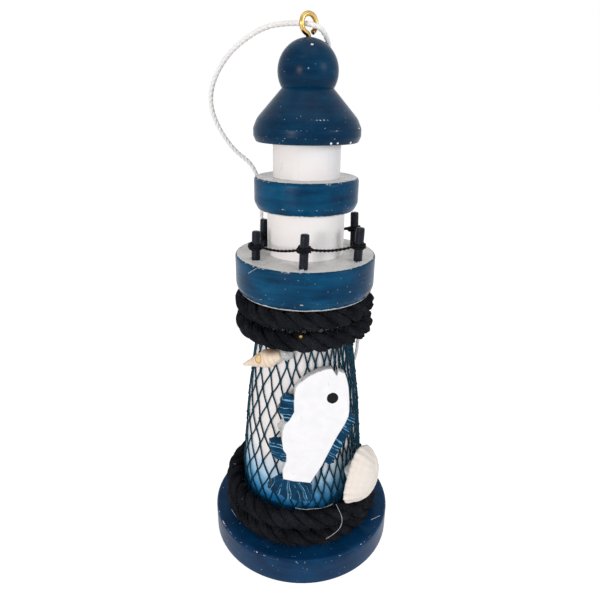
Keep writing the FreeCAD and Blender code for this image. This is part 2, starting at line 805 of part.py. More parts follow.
def triangulated(rings):
    """A closed solid through rings whose four-cornered patches aren't flat."""
    faces = [Part.Face(Part.makePolygon(ring + ring[:1])) for ring in (rings[0], rings[-1])]
    for low, high in zip(rings, rings[1:]):
        for i in range(len(low)):
            j = (i + 1) % len(low)
            faces.append(Part.Face(Part.makePolygon([low[i], low[j], high[j], low[i]])))
            faces.append(Part.Face(Part.makePolygon([low[i], high[j], high[i], low[i]])))
    return Part.Solid(Part.Shell(faces))


def scallop_shell():
    """A ribbed, hollow cockle valve, leaning on the tower with its lower end on the lower rope."""
    width, height = size("scallop_width"), size("scallop_height")
    depth, wall = size("scallop_depth"), size("scallop_wall")
    outer = triangulated(
        [scallop_ring(height * t, width * w, depth * d, SCALLOP_RIB_HEIGHT) for t, w, d in SCALLOP_SECTIONS]
    )
    inner = [
        scallop_ring(height * t, width * w - 2 * wall, depth * d - wall, 0.0) for t, w, d in SCALLOP_SECTIONS[1:-1]
    ]
    for ring in inner:
        ring[0].z = ring[-1].z = -wall
    shell = outer.cut(triangulated(inner))
    out = size(f"tower_foot_radius + {NET_OUTER}")
    rope_top = size("base_thickness + 2 * lower_rope_diameter + rope_turn_gap + scallop_lift")
    face_out = polar(1, SCALLOP_FACING, SCALLOP_TILT).normalize()
    toward_margin = (SCALLOP_MARGIN_WAY - face_out * SCALLOP_MARGIN_WAY.dot(face_out)).normalize()
    across = toward_margin.cross(face_out).normalize()
    frame = Rotation(across, toward_margin, face_out, "ZYX")
    centre = polar(out, SCALLOP_PLACE, rope_top) + face_out * size("scallop_stand_off")
    item = feature("scallop_shell", shell)
    item.Placement = Placement(centre - frame.multVec(Vector(0, height / 2, 0)), frame)
    glue_dab(
        "scallop_glue", centre - face_out * wall, face_out, size("scallop_glue_radius"), item.Shape, doc.lower_rope.Shape
    )


spiral_shell()
scallop_shell()


# --------------------------------------------------------------------------------------- hanging cord
def rounded_path(points):
    """Straight runs joined by tangent arcs, each as large as its two runs allow, and the arcs' radii."""
    edges, radii = [], []
    last = points[0]
    for before, corner, after in zip(points, points[1:], points[2:]):
        first, second = corner - before, after - corner
        turn = first.getAngle(second)
        trim = 0.45 * min(first.Length, second.Length)
        start = corner - first.normalize() * trim
        end = corner + second.normalize() * trim
        radii.append(trim / math.tan(turn / 2))
        edges.append(Part.LineSegment(last, start).toShape())
        edges.append(tangent_arc(start, first, end))
        last = end
    edges.append(Part.LineSegment(last, points[-1]).toShape())
    return Part.Wire(edges), radii


CORD_SIDES = 6
KNOT_PROFILE = [(0.55, -0.9), (1.0, -0.4), (1.0, 0.4), (0.55, 0.9)]
KNOT_SIDES = 10


def hanging_cord():
    """One closed loop: both ends go into the knot behind the ornament."""
    radius = size("cord_diameter") / 2
    points = [Vector(*point) for point in CORD_ROUTE]
    path, radii = rounded_path(points)
    cord = tube(path, points[0], (points[1] - points[0]).normalize(), radius, CORD_SIDES)
    print(f"hanging_cord: length {path.Length:.0f} mm, radii from {min(radii):.1f} mm:", end=" ")
    print(", ".join(f"{radius_here:.1f}" for radius_here in radii))
    section = CORD_SIDES / 2 * radius**2 * math.sin(2 * math.pi / CORD_SIDES)
    print(f"hanging_cord: volume {cord.Volume / (section * path.Length):.3f} of section x length")
    feature("hanging_cord", cord)
    knot = [(size("knot_radius") * r, size("knot_radius") * z) for r, z in KNOT_PROFILE]
    middle = Placement((points[0] + points[-1]) * 0.5, Rotation())
    feature("cord_knot", faceted_turning(knot, KNOT_SIDES, middle))


hanging_cord()


# -------------------------------------------------------------------------------------------- output
PIECES = [
    "base_disc",
    "tower_body",
    "gallery_disc",
    "lantern_spindle",
    "upper_disc",
    "roof_cap",
    "screw_eye",
    *[f"fence_post_{number}" for number in range(1, len(POSTS) + 1)],
    "fence_rail",
    "lower_rope",
    "upper_rope",
    "rope_brad",
    "fishing_net",
    "fish",
    "fish_glue",
    "spiral_shell",
    "spiral_shell_glue",
    "scallop_shell",
    "scallop_glue",
    "hanging_cord",
    "cord_knot",
]

doc.recompute()
for item in doc.Objects:
    if "Invalid" in item.State or "Error" in item.State:
        raise RuntimeError(f"{item.Label} failed: {item.State}")
os.makedirs("parts", exist_ok=True)
for name in PIECES:
    shape = doc.getObject(name).Shape
    if shape.isNull() or not shape.isValid() or not shape.Solids:
        raise RuntimeError(f"{name} has no valid solid")
    shape.exportStep(f"parts/{name}.step")
    print(f"{name}: {len(shape.Solids)} solid(s), {shape.Volume:.1f} mm3")
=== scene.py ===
"""Garden lighthouse ornament: turned and painted wood with rope, a fishing net, a wooden fish, shells and a cord."""

import random
from math import asin, atan2, copysign, cos, pi, radians, sin, tan

import bpy
from mathutils import Matrix, Vector, noise


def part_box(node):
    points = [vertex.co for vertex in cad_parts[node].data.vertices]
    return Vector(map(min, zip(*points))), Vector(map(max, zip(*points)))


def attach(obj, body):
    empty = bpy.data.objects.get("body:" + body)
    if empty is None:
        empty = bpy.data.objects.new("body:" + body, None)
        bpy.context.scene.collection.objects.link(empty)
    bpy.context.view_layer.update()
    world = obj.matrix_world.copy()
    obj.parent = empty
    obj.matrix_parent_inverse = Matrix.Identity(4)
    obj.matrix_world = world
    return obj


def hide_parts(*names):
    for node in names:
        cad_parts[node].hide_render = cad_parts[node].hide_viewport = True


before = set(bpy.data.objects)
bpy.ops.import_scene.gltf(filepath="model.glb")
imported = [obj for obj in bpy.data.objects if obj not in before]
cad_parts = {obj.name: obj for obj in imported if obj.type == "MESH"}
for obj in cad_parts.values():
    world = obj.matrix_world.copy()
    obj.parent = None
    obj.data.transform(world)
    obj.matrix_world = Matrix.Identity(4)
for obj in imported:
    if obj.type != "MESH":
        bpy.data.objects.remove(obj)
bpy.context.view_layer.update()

scene = bpy.context.scene
MM = 0.001  # meshes are made in millimetres and stored in metres
BODY = "ornament"
FULL_TURN = 2 * pi


# ---- sizes, from the frame
def low(node):
    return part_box(node)[0] / MM


def high(node):
    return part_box(node)[1] / MM


BASE_RADIUS = high("base_disc").x
BASE_TOP = high("base_disc").z
TOWER_FOOT_RADIUS = high("tower_body").x
GALLERY_RADIUS = high("gallery_disc").x
GALLERY_UNDERSIDE = low("gallery_disc").z
GALLERY_TOP = high("gallery_disc").z
NECK_RADIUS = high("lantern_spindle").x
DISC_RADIUS = high("upper_disc").x
DISC_UNDERSIDE = low("upper_disc").z
DISC_TOP = high("upper_disc").z
ROOF_UNDERSIDE = low("roof_cap").z
ROOF_RADIUS = high("roof_cap").x
BALL_TOP = high("roof_cap").z

# Sizes that the frame's boxes don't give, as in the CAD model.
TOWER_FOOT_TOP = BASE_TOP + 18.4
TOWER_WAIST_RADIUS, TOWER_WAIST = 18.1, BASE_TOP + 42.4
TOWER_TOP_RADIUS, TOWER_CONE_TOP = 14.9, GALLERY_UNDERSIDE - 15.2
LANTERN_RADIUS = 9.7
ROOF_CREASE_RADIUS, ROOF_CREASE = 7.15, ROOF_UNDERSIDE + 14.0
BALL_RADIUS = 8.3
WIRE_RADIUS, EYE_RADIUS, EYE_CENTRE, EYE_TURN = 0.67, 2.35, BALL_TOP + 3.15, radians(37)
LOWER_ROPE, UPPER_ROPE, TURN_GAP = 6.2, 6.2, 0.5
NET_SEAT = 0.32  # from the wood to the middle of the net's twine
TWINE_RADIUS = 0.24
FISH_THICKNESS = 2.8


# ---- material tools
def linear(code):
    """A colour written as sRGB hex, as the linear red, green, blue and alpha that shaders take."""
    parts = [int(code[i : i + 2], 16) / 255 for i in (0, 2, 4)]
    return [c / 12.92 if c <= 0.04045 else ((c + 0.055) / 1.055) ** 2.4 for c in parts] + [1.0]


def add(tree, kind, *values, **settings):
    """One shader node with its settings. Its open sockets take the values in order, or by name from one dict: each
    is a number, a hex colour, an output, or a node, of which the first open output is meant."""
    made = tree.nodes.new("ShaderNode" + kind)
    for setting, value in settings.items():
        setattr(made, setting, value)
    given = zip([socket for socket in made.inputs if socket.enabled], values)
    if values and isinstance(values[0], dict):
        given = [(made.inputs[name], value) for name, value in values[0].items()]
    for socket, value in given:
        if isinstance(value, bpy.types.Node):
            value = next(output for output in value.outputs if output.enabled)
        if isinstance(value, bpy.types.NodeSocket):
            tree.links.new(value, socket)
        else:
            socket.default_value = linear(value) if isinstance(value, str) else value
    return made


def new_material(name):
    made = bpy.data.materials.new(name)
    made.use_nodes = True
    made.node_tree.nodes.clear()
    return made, made.node_tree


def finished(made, surface, relief=None, depth_mm=0.0):
    """The material, with these values on its surface and a relief of that depth in it."""
    tree = made.node_tree
    if relief:
        surface["Normal"] = add(tree, "Bump", {"Height": relief, "Distance": depth_mm * MM})
    add(tree, "OutputMaterial", add(tree, "BsdfPrincipled", surface))
    return made


def coated(tree, colour, *coats):
    """A colour under coats of others. Each coat has a value, the figures at which the coat begins and is full, its
    colour and, unless it covers completely, how much it covers."""
    for value, begins, full, over, *most in coats:
        share = add(tree, "MapRange", value, begins, full, 0.0, *most)
        colour = add(tree, "Mix", share, colour, over, data_type="RGBA")
    return colour


def patches(tree, size_mm, detail=3.0, stretch=(1, 1, 1), rough=0.55):
    """Noise from 0 to 1, its patches about that many millimetres across."""
    spot = add(tree, "Mapping", {"Vector": add(tree, "TexCoord").outputs["Object"], "Scale": stretch})
    return add(tree, "TexNoise", {"Vector": spot, "Scale": 1 / (size_mm * MM), "Detail": detail, "Roughness": rough})


def specks(tree, spacing_mm, size_mm, kept):
    """Small round dots, scattered that far apart, of which only some are kept."""
    spot = add(tree, "TexCoord").outputs["Object"]
    cells = add(tree, "TexVoronoi", {"Vector": spot, "Scale": 1 / (spacing_mm * MM)})
    dot = add(tree, "MapRange", cells, size_mm / spacing_mm, 0.5 * size_mm / spacing_mm)
    red = add(tree, "SeparateColor", cells.outputs["Color"])
    return add(tree, "Math", dot, add(tree, "Math", red, kept, operation="LESS_THAN"), operation="MULTIPLY")


# ---- materials
def acrylic_on_turned_wood(name, shade, light, roughness=0.26):
    """Satin acrylic, brushed on while the wood turned: rings of thicker and thinner paint, white undercoat at
    chipped edges and on the flat faces, and dust that dried in and dulls the highlights."""
    made, tree = new_material(name)
    clouds = patches(tree, 9.0, 4.0)
    strokes = patches(tree, 1.4, 4.0, (0.10, 0.10, 1.0))
    rubbed = patches(tree, 3.2, 5.0, (0.5, 0.5, 1.0), 0.68)
    ragged = patches(tree, 1.6, 5.0, rough=0.7)
    thickness = add(tree, "Mix", 0.45, clouds, strokes)
    dust = add(tree, "Math", specks(tree, 2.1, 0.28, 0.06), specks(tree, 0.9, 0.15, 0.12), operation="MAXIMUM")
    paint = coated(
        tree, shade, (thickness, 0.38, 0.62, light), (rubbed, 0.56, 0.80, "3D7799", 0.22), (dust, 0, 1, "AFC1CE", 0.7)
    )
    white = coated(tree, "CFCECC", (clouds, 0.35, 0.7, "E9E8E6"), (rubbed, 0.58, 0.75, "A9B2B8"))

    edge = add(tree, "Attribute", attribute_name="edge").outputs["Fac"]
    chip = add(tree, "MapRange", add(tree, "Math", edge, ragged, operation="MULTIPLY"), 0.57, 0.60)
    white_side = add(tree, "Attribute", attribute_name="white").outputs["Fac"]
    ragged_side = add(tree, "Math", ragged, 0.9, white_side, operation="MULTIPLY_ADD")
    bare = add(tree, "Math", chip, add(tree, "MapRange", ragged_side, 0.45, 0.51), operation="MAXIMUM")
    surface = {
        "Base Color": coated(tree, paint, (bare, 0, 1, white)),
        "Roughness": add(tree, "Math", rubbed, 0.24, roughness - 0.10, operation="MULTIPLY_ADD"),
        "Specular IOR Level": 0.08,
    }
    return finished(made, surface, add(tree, "Math", bare, -0.8, strokes, operation="MULTIPLY_ADD"), 0.05)


def distemper_on_turned_wood(name, foot=None):
    """Thin matt white paint: the wood's grain barely shows as upright lines, with a warm cast in places and grey
    rubs from the hand. With foot, a sprayed blue fades up from that height."""
    made, tree = new_material(name)
    grain = patches(tree, 0.9, 3.0, (1, 1, 0.05))
    clouds = patches(tree, 11.0, 4.0)
    rubs = patches(tree, 5.0, 5.0, rough=0.7)
    coats = [(clouds, 0.35, 0.7, "F8F8F8"), (grain, 0.60, 0.80, "C9BFB6", 0.16), (rubs, 0.60, 0.75, "B4B5B8", 0.35)]
    if foot:
        height = add(tree, "SeparateXYZ", add(tree, "TexCoord").outputs["Object"]).outputs["Z"]
        mist = patches(tree, 4.0, 5.0, rough=0.65)
        level = add(tree, "Math", mist, 8 * MM, height, operation="MULTIPLY_ADD")
        # Where each blue begins and where it is full, in millimetres above the foot.
        for blue, begins, full in (("84C2E6", 22, 10), ("0A70AC", 13, 5), ("053E68", 6, -2)):
            coats.append((level, (foot + begins) * MM, (foot + full) * MM, blue))
    surface = {"Base Color": coated(tree, "F5F1EF", *coats), "Roughness": 0.62, "Specular IOR Level": 0.3}
    return finished(made, surface, add(tree, "Math", clouds, 0.5, grain, operation="MULTIPLY_ADD"), 0.04)


def dyed_cotton(name, dark, light, fibre_mm, sheen, relief_mm=0.1):
    """Spun cotton: no gloss, but its loose fibres catch light at a glancing view, and yarns differ a little."""
    made, tree = new_material(name)
    fibres = patches(tree, fibre_mm, 4.0, rough=0.7)
    tone = add(tree, "Mix", 0.4, fibres, patches(tree, 6.0))
    surface = {
        "Base Color": coated(tree, dark, (tone, 0.35, 0.68, light)),
        "Roughness": 0.95,
        "Specular IOR Level": 0.03,
        "Sheen Weight": sheen,
        "Sheen Roughness": 0.6,
        "Sheen Tint": light,
    }
    return finished(made, surface, fibres, relief_mm)


def waxed_twine(name, dark, light):
    """Twine with a little wax on it: a soft shine along the top of each strand."""
    made, tree = new_material(name)
    twist = patches(tree, 0.5, 2.0)
    colour = coated(tree, dark, (twist, 0.35, 0.65, light))
    return finished(made, {"Base Color": colour, "Roughness": 0.6, "Specular IOR Level": 0.08}, twist, 0.05)


def lacquered_stick(name):
    """Thin sticks dipped in black gloss paint, with a few chips at the foot where they were pushed in."""
    made, tree = new_material(name)
    lumps = patches(tree, 1.2)
    edge = add(tree, "Attribute", attribute_name="edge").outputs["Fac"]
    rough_edge = add(tree, "Math", edge, patches(tree, 0.6, 4.0), operation="MULTIPLY")
    colour = coated(tree, "0A0E16", (lumps, 0.3, 0.7, "161D29"), (rough_edge, 0.45, 0.51, "C9CDD2"))
    return finished(made, {"Base Color": colour, "Roughness": 0.33, "Specular IOR Level": 0.14}, lumps, 0.15)


def fish_white(name):
    """Thick matt white on a sawn board, with a few hairline scratches."""
    made, tree = new_material(name)
    lumps = patches(tree, 3.0, 4.0)
    scratches = patches(tree, 1.0, 2.0, (1, 1, 0.15))
    colour = coated(tree, "EFF0F3", (lumps, 0.3, 0.7, "F8F8FA"), (scratches, 0.70, 0.74, "A9ABB0", 0.35))
    return finished(made, {"Base Color": colour, "Roughness": 0.6, "Specular IOR Level": 0.2}, lumps, 0.05)


def sawn_edge(name):
    """The board's sawn sides: thin grey-white paint with dark pores and saw marks showing through, made greyer than
    the face partly as painted shade.
    """
    made, tree = new_material(name)
    marks = patches(tree, 0.8, 4.0, rough=0.7)
    colour = coated(tree, "C9CACC", (patches(tree, 3.0), 0.3, 0.7, "E6E6E7"), (marks, 0.60, 0.68, "4A5560"))
    return finished(made, {"Base Color": colour, "Roughness": 0.7}, marks, 0.25)


GROOVE_MM, GROOVE_WANDER_MM = 0.62, 1.8


def scored_fin_blue(name, slant, fan=None):
    """Navy paint over scored lines: the knife's grooves show pale blue. slant is the grooves' lean from upright,
    in degrees, across the board's face. With fan, they spread from that point, given as right and up."""
    made, tree = new_material(name)
    way = radians(slant)
    split = add(tree, "SeparateXYZ", add(tree, "TexCoord").outputs["Object"])
    sideways = add(tree, "Math", split.outputs["X"], cos(way), operation="MULTIPLY")
    across = add(tree, "Math", split.outputs["Z"], sin(way), sideways, operation="MULTIPLY_ADD")
    if fan:
        drop = add(tree, "Math", fan[1] * MM, split.outputs["Z"], operation="SUBTRACT")
        off = add(tree, "Math", across, fan[0] * MM, operation="SUBTRACT")
        spread = add(tree, "Math", off, 9 * MM, operation="MULTIPLY")
        across = add(tree, "Math", spread, drop, operation="DIVIDE")
    wander = add(tree, "Math", patches(tree, 5.0), 0.5, operation="SUBTRACT")
    line = add(tree, "Math", wander, GROOVE_WANDER_MM * MM, across, operation="MULTIPLY_ADD")
    count = add(tree, "Math", line, 1 / (GROOVE_MM * MM), operation="MULTIPLY")
    groove = add(tree, "TexNoise", {"W": count, "Scale": 1.0, "Detail": 1.5}, noise_dimensions="1D")
    cut = add(tree, "MapRange", groove, 0.555, 0.635)
    scored = add(tree, "Math", cut, add(tree, "MapRange", patches(tree, 1.8, 2.0), 0.40, 0.52), operation="MULTIPLY")
    colour = coated(tree, "032843", (patches(tree, 2.5), 0.35, 0.7, "084468"), (scored, 0, 1, "84BEDA", 0.8))
    surface = {"Base Color": colour, "Roughness": 0.45, "Specular IOR Level": 0.08}
    return finished(made, surface, add(tree, "Math", scored, -1.0, operation="MULTIPLY"), 0.25)


def sea_shell(name, pale, band, banding):
    """Dry shell: chalky and faintly translucent, with soft bands of colour along its growth lines, a golden
    spot with a darker rim, and a brown mouth, where the mesh marks them."""
    made, tree = new_material(name)
    growth, golden, opening = (
        add(tree, "Attribute", attribute_name=mark).outputs["Fac"] for mark in ("growth", "golden", "opening")
    )
    wavy = add(tree, "Math", patches(tree, 2.5), 0.6, growth, operation="MULTIPLY_ADD")
    bands = add(tree, "TexNoise", {"W": wavy, "Scale": 1.6, "Detail": 2.0}, noise_dimensions="1D")
    spot = [(golden, 0.22, 0.34, "BE9150"), (golden, 0.36, 0.50, "EFD19B")]
    mouth = (opening, 0.10, 0.70, "A87C58", 0.8)
    surface = {
        "Base Color": coated(tree, pale, (bands, 0.38, 0.70, band, banding), *spot, mouth),
        "Roughness": 0.5,
        "Specular IOR Level": 0.35,
        "Subsurface Weight": 0.15,
        "Subsurface Scale": 1.0 * MM,
        "Subsurface Radius": (1.0, 0.7, 0.5),
    }
    pits = patches(tree, 0.5, 4.0, rough=0.7)
    return finished(made, surface, add(tree, "Math", bands, banding, pits, operation="MULTIPLY_ADD"), 0.06)


def drawn_brass(name):
    """Bright drawn wire with a thin brown tarnish where it was cut and where it meets the wood."""
    made, tree = new_material(name)
    edge = add(tree, "Attribute", attribute_name="edge").outputs["Fac"]
    smears = patches(tree, 1.5)
    tarnish = add(tree, "Math", edge, add(tree, "MapRange", smears, 0.55, 0.8, 0.0, 0.35), operation="MAXIMUM")
    roughness = add(tree, "Math", smears, 0.15, 0.12, operation="MULTIPLY_ADD")
    colour = coated(tree, "C4A262", (tarnish, 0, 1, "4A3218"))
    return finished(made, {"Base Color": colour, "Metallic": 1.0, "Roughness": roughness})


def hot_melt_glue(name):
    """Clear hot glue: milky with small bubbles, and glossy where it flowed."""
    made, tree = new_material(name)
    bubbles = patches(tree, 0.8)
    colour = coated(tree, "D9DEDF", (bubbles, 0, 1, "F2F4F4"))
    surface = {"Base Color": colour, "Roughness": 0.2, "IOR": 1.49, "Transmission Weight": 0.45}
    return finished(made, surface, bubbles, 0.1)


def bead_black(name):
    """A dot of black gloss paint for the eye."""
    made, tree = new_material(name)
    lumps = patches(tree, 1.0, 2.0)
    colour = coated(tree, "08090B", (lumps, 0, 1, "16181C"))
    return finished(made, {"Base Color": colour, "Roughness": 0.35, "Specular IOR Level": 0.12}, lumps, 0.04)


BLUE_FOOT = 22.0  # the height in millimetres that the tower's blue fades up from

ROOF_NAVY = acrylic_on_turned_wood("roof_navy_acrylic", "002440", "023755")
BASE_NAVY = acrylic_on_turned_wood("base_navy_acrylic", "03284A", "07395F", 0.32)
BAND_BLUE = acrylic_on_turned_wood("band_blue_acrylic", "002B49", "034B70")
LANTERN_WHITE = distemper_on_turned_wood("lantern_white_distemper")
TOWER_WHITE = distemper_on_turned_wood("tower_white_distemper", BLUE_FOOT)
ROPE_BLACK = dyed_cotton("black_cotton_rope", "010203", "2C2E34", 0.32, 0.02, 0.3)
# The loose fibres' grey, lighter than the rope's black, is a painted highlight for the light they catch.
FUZZ_GREY_PAINTED_HIGHLIGHT = dyed_cotton("black_cotton_fuzz_painted_highlight", "24262A", "60646C", 0.35, 0.1)
LINT_WHITE = dyed_cotton("white_lint", "C9C9C9", "F0F0F0", 0.35, 0.1)
CORD_WHITE = dyed_cotton("white_cotton_cord", "F2F2F1", "FBFBFA", 0.9, 0.1, 0.03)
NET_TEAL = waxed_twine("net_teal_twine", "062838", "0D4459")
RAIL_BLACK = waxed_twine("rail_black_twine", "070709", "1B1B20")
POST_BLACK = lacquered_stick("post_black_lacquer")
FISH_WHITE = fish_white("fish_white_paint")
# The board's sides are a greyer copy of its white face: thin paint, and partly painted shade.
FISH_EDGE = sawn_edge("fish_sawn_edge")
EYE_BLACK = bead_black("fish_eye_black")
COCKLE = sea_shell("cockle_shell", "EEE7DF", "E6D2BE", 0.25)
TURRET = sea_shell("turret_shell", "EDE0CE", "E3C3A0", 0.7)
BRASS = drawn_brass("drawn_brass")
GLUE = hot_melt_glue("hot_melt_glue")


# ---- mesh tools
def shown(name, data):
    made = bpy.data.objects.new(name, data)
    scene.collection.objects.link(made)
    return made


def carried(name, data, nodes=()):
    """An object that rides on the ornament and stands for the nodes."""
    made = shown(name, data)
    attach(made, BODY)
    if nodes:
        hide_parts(*nodes)
    return made


def dressed(name, mesh, finishes, nodes, sharp):
    """A smooth mesh as a carried object, with hard edges where it turns by more than sharp degrees."""
    mesh.polygons.foreach_set("use_smooth", [True] * len(mesh.polygons))
    if sharp:
        mesh.set_sharp_from_angle(angle=radians(sharp))
    for finish in finishes:
        mesh.materials.append(finish)
    return carried(name, mesh, nodes)


def piece(name, shape, finish, nodes=(), values=(), sharp=0):
    """A carried object of a shape's points, in millimetres, and faces, with numbers that its material reads."""
    points, faces = shape
    mesh = bpy.data.meshes.new(name)
    mesh.from_pydata([Vector(p) * MM for p in points], [], faces)
    mesh.update()
    for attribute, numbers in dict(values).items():
        mesh.attributes.new(attribute, "FLOAT", "POINT").data.foreach_set("value", numbers)
    return dressed(name, mesh, [finish], nodes, sharp)


def new_curve(name, dimensions, radius=0.0, roundness=0):
    """An empty curve, whose section has that radius in millimetres."""
    curve = bpy.data.curves.new(name, "CURVE")
    curve.dimensions = dimensions
    curve.bevel_depth = radius * MM
    curve.bevel_resolution = roundness
    return curve


def lay(curve, kind, points):
    """A new line in a curve, through points in metres."""
    spline = curve.splines.new(kind)
    spline.points.add(len(points) - 1)
    for spot, point in zip(spline.points, points):
        spot.co = (*point, 1.0)
    return spline


def mesh_from(curve):
    holder = shown(curve.name, curve)
    bpy.context.view_layer.update()
    mesh = bpy.data.meshes.new_from_object(holder)
    bpy.data.objects.remove(holder)
    return mesh


def polar(radius, angle, height=0.0):
    return Vector((radius * cos(angle), radius * sin(angle), height))


def carried_frames(line):
    """Two unit vectors across each point of a line, carried along it without twisting."""
    frames = []
    across = None
    for i, point in enumerate(line):
        way = (line[min(i + 1, len(line) - 1)] - line[max(i - 1, 0)]).normalized()
        across = way.orthogonal() if across is None else across - way * across.dot(way)
        across.normalize()
        frames.append((across.copy(), way.cross(across)))
    return frames


def lengths_along(line):
    along = [0.0]
    for first, second in zip(line, line[1:]):
        along.append(along[-1] + (second - first).length)
    return along


def nearest(along, far):
    """The number of the point that lies nearest to that distance along a line."""
    return min(range(len(along)), key=lambda k: abs(along[k] - far))


def spoke(across, up, angle):
    return across * cos(angle) + up * sin(angle)


def joined(parts):
    """Several (points, faces) as one."""
    points, faces = [], []
    for more_points, more_faces in parts:
        start = len(points)
        points += more_points
        faces += [[start + i for i in face] for face in more_faces]
    return points, faces


def quads(rings, around, start=0):
    """Faces between closed rings of that many points."""
    faces = []
    for ring in range(rings - 1):
        for side in range(around):
            a, b = start + ring * around + side, start + ring * around + (side + 1) % around
            faces.append([a, b, b + around, a + around])
    return faces


def tube(line, radius, sides=12, groove=None):
    """A closed tube along a line. radius is a number or a function of the distance along; groove gives the
    share of the radius by angle and distance."""
    along = lengths_along(line)
    points = []
    for middle, (across, up), far in zip(line, carried_frames(line), along):
        reach = radius(far) if callable(radius) else radius
        for side in range(sides):
            angle = FULL_TURN * side / sides
            share = groove(angle, far) if groove else 1.0
            points.append(middle + spoke(across, up, angle) * (reach * share))
    ends = [list(range(sides))[::-1], [(len(line) - 1) * sides + side for side in range(sides)]]
    return points, quads(len(line), sides) + ends


def strands(line, radius, count, lay_length, wobble=0.0, fullness=0.5):
    """The centre lines of the strands that are laid round a line, and the radius of each strand."""
    strand_radius = radius * fullness
    along = lengths_along(line)
    frames = carried_frames(line)
    lines = []
    for strand in range(count):
        points = []
        for middle, (across, up), far in zip(line, frames, along):
            slip = wobble * noise.noise(Vector((far * 0.15, strand * 7.3, radius)))
            angle = FULL_TURN * (far / lay_length + strand / count) + slip
            points.append(middle + spoke(across, up, angle) * (radius - strand_radius))
        lines.append(points)
    return lines, strand_radius


ROUNDING_STEPS = 6
PROFILE_STEP = 1.6
TURNED_SIDES = 160
FAR_FROM_WHITE = -9.0


def rounded(outline):
    """The points of (radius, height, rounding) corners with each corner rounded, and how far each point lies
    in a rounding, from 0 to 1 in its middle."""
    points = []
    for i, (radius, height, rounding) in enumerate(outline):
        corner = Vector((radius, height))
        if not rounding:
            points.append((corner, 0.0))
            continue
        before = Vector(outline[i - 1][:2]) - corner
        after = Vector(outline[i + 1][:2]) - corner
        half = before.angle(after) / 2
        reach = min(rounding / tan(half), 0.48 * before.length, 0.48 * after.length)
        arc = reach * tan(half)
        centre = corner + (before.normalized() + after.normalized()).normalized() * (arc / sin(half))
        first = corner + before.normalized() * reach - centre
        second = corner + after.normalized() * reach - centre
        sweep = first.angle(second)
        for step in range(ROUNDING_STEPS + 1):
            share = step / ROUNDING_STEPS
            ray = (first * sin((1 - share) * sweep) + second * sin(share * sweep)) / sin(sweep)
            points.append((centre + ray, sin(pi * share)))
    return points


def turned(name, node, finish, outline, white=None):
    """A turned piece from its (radius, height, rounding) corners, first and last on the axis. white gives a
    point's distance into the white paint, in millimetres, by radius and height."""
    around = TURNED_SIDES
    profile = []
    corners = rounded(outline)
    for (start, start_edge), (end, end_edge) in zip(corners, corners[1:]):
        count = max(1, int((end - start).length / PROFILE_STEP))
        for step in range(count):
            share = step / count
            profile.append((start.lerp(end, share), start_edge * (1 - share) + end_edge * share))
    profile.append(corners[-1])
    points, edges, whites = [], [], []
    for middle, edge in profile[1:-1]:
        for side in range(around):
            points.append(polar(middle.x, FULL_TURN * side / around, middle.y))
        edges += [edge] * around
        whites += [white(middle.x, middle.y) if white else FAR_FROM_WHITE] * around
    rings = len(profile) - 2
    faces = quads(rings, around)
    for pole, ring in ((profile[0][0], 0), (profile[-1][0], rings - 1)):
        points.append(Vector((0, 0, pole.y)))
        edges.append(0.0)
        whites.append(white(0.0, pole.y) if white else FAR_FROM_WHITE)
        for side in range(around):
            rim = [ring * around + side, ring * around + (side + 1) % around]
            faces.append([len(points) - 1] + (rim[::-1] if ring == 0 else rim))
    return piece(name, (points, faces), finish, [node], {"edge": edges, "white": whites}, sharp=50)


# ---- turned wood
def white_flats(rim_radius, top, lower_line, upper_line=0.45):
    """White on the flat top and on the underside up to a line, blue on the side between."""

    def distance(radius, height):
        on_top = rim_radius - upper_line - radius if height > top - 0.4 else -1.0
        return max(on_top, lower_line - height)

    return distance


ball_centre = BALL_TOP - BALL_RADIUS
crease_angle = asin((ROOF_CREASE - ball_centre) / BALL_RADIUS)
BALL_STEPS = 26
ball_arc = [
    (BALL_RADIUS * cos(angle), ball_centre + BALL_RADIUS * sin(angle), 0)
    for angle in [crease_angle + (pi / 2 - crease_angle) * step / BALL_STEPS for step in range(1, BALL_STEPS + 1)]
]

# Each turned piece's corners from axis to axis: radius, height and rounding.
turned("base_disc_paint", "base_disc", BASE_NAVY, [
    (0, 0, 0), (BASE_RADIUS, 0, 0.6), (BASE_RADIUS, BASE_TOP, 1.1), (0, BASE_TOP, 0),
])  # fmt: skip
turned("tower_paint", "tower_body", TOWER_WHITE, [
    (0, BASE_TOP, 0), (TOWER_FOOT_RADIUS, BASE_TOP, 0.3), (TOWER_FOOT_RADIUS, TOWER_FOOT_TOP, 90),
    (TOWER_WAIST_RADIUS, TOWER_WAIST, 90), (TOWER_TOP_RADIUS, TOWER_CONE_TOP, 40),
    (TOWER_TOP_RADIUS, GALLERY_UNDERSIDE, 0.2), (0, GALLERY_UNDERSIDE, 0),
])  # fmt: skip
turned("gallery_paint", "gallery_disc", BAND_BLUE, [
    (0, GALLERY_UNDERSIDE, 0), (GALLERY_RADIUS - 1.3, GALLERY_UNDERSIDE, 1.2),
    (GALLERY_RADIUS, GALLERY_UNDERSIDE + 2.6, 3.4), (GALLERY_RADIUS, GALLERY_TOP, 0.7), (0, GALLERY_TOP, 0),
], white_flats(GALLERY_RADIUS, GALLERY_TOP, GALLERY_UNDERSIDE + 0.75))  # fmt: skip
turned("lantern_paint", "lantern_spindle", LANTERN_WHITE, [
    (0, GALLERY_TOP, 0), (NECK_RADIUS, GALLERY_TOP, 0.2), (NECK_RADIUS, DISC_UNDERSIDE, 0.3),
    (LANTERN_RADIUS, DISC_UNDERSIDE, 0), (LANTERN_RADIUS, ROOF_UNDERSIDE, 0.2), (0, ROOF_UNDERSIDE, 0),
])  # fmt: skip
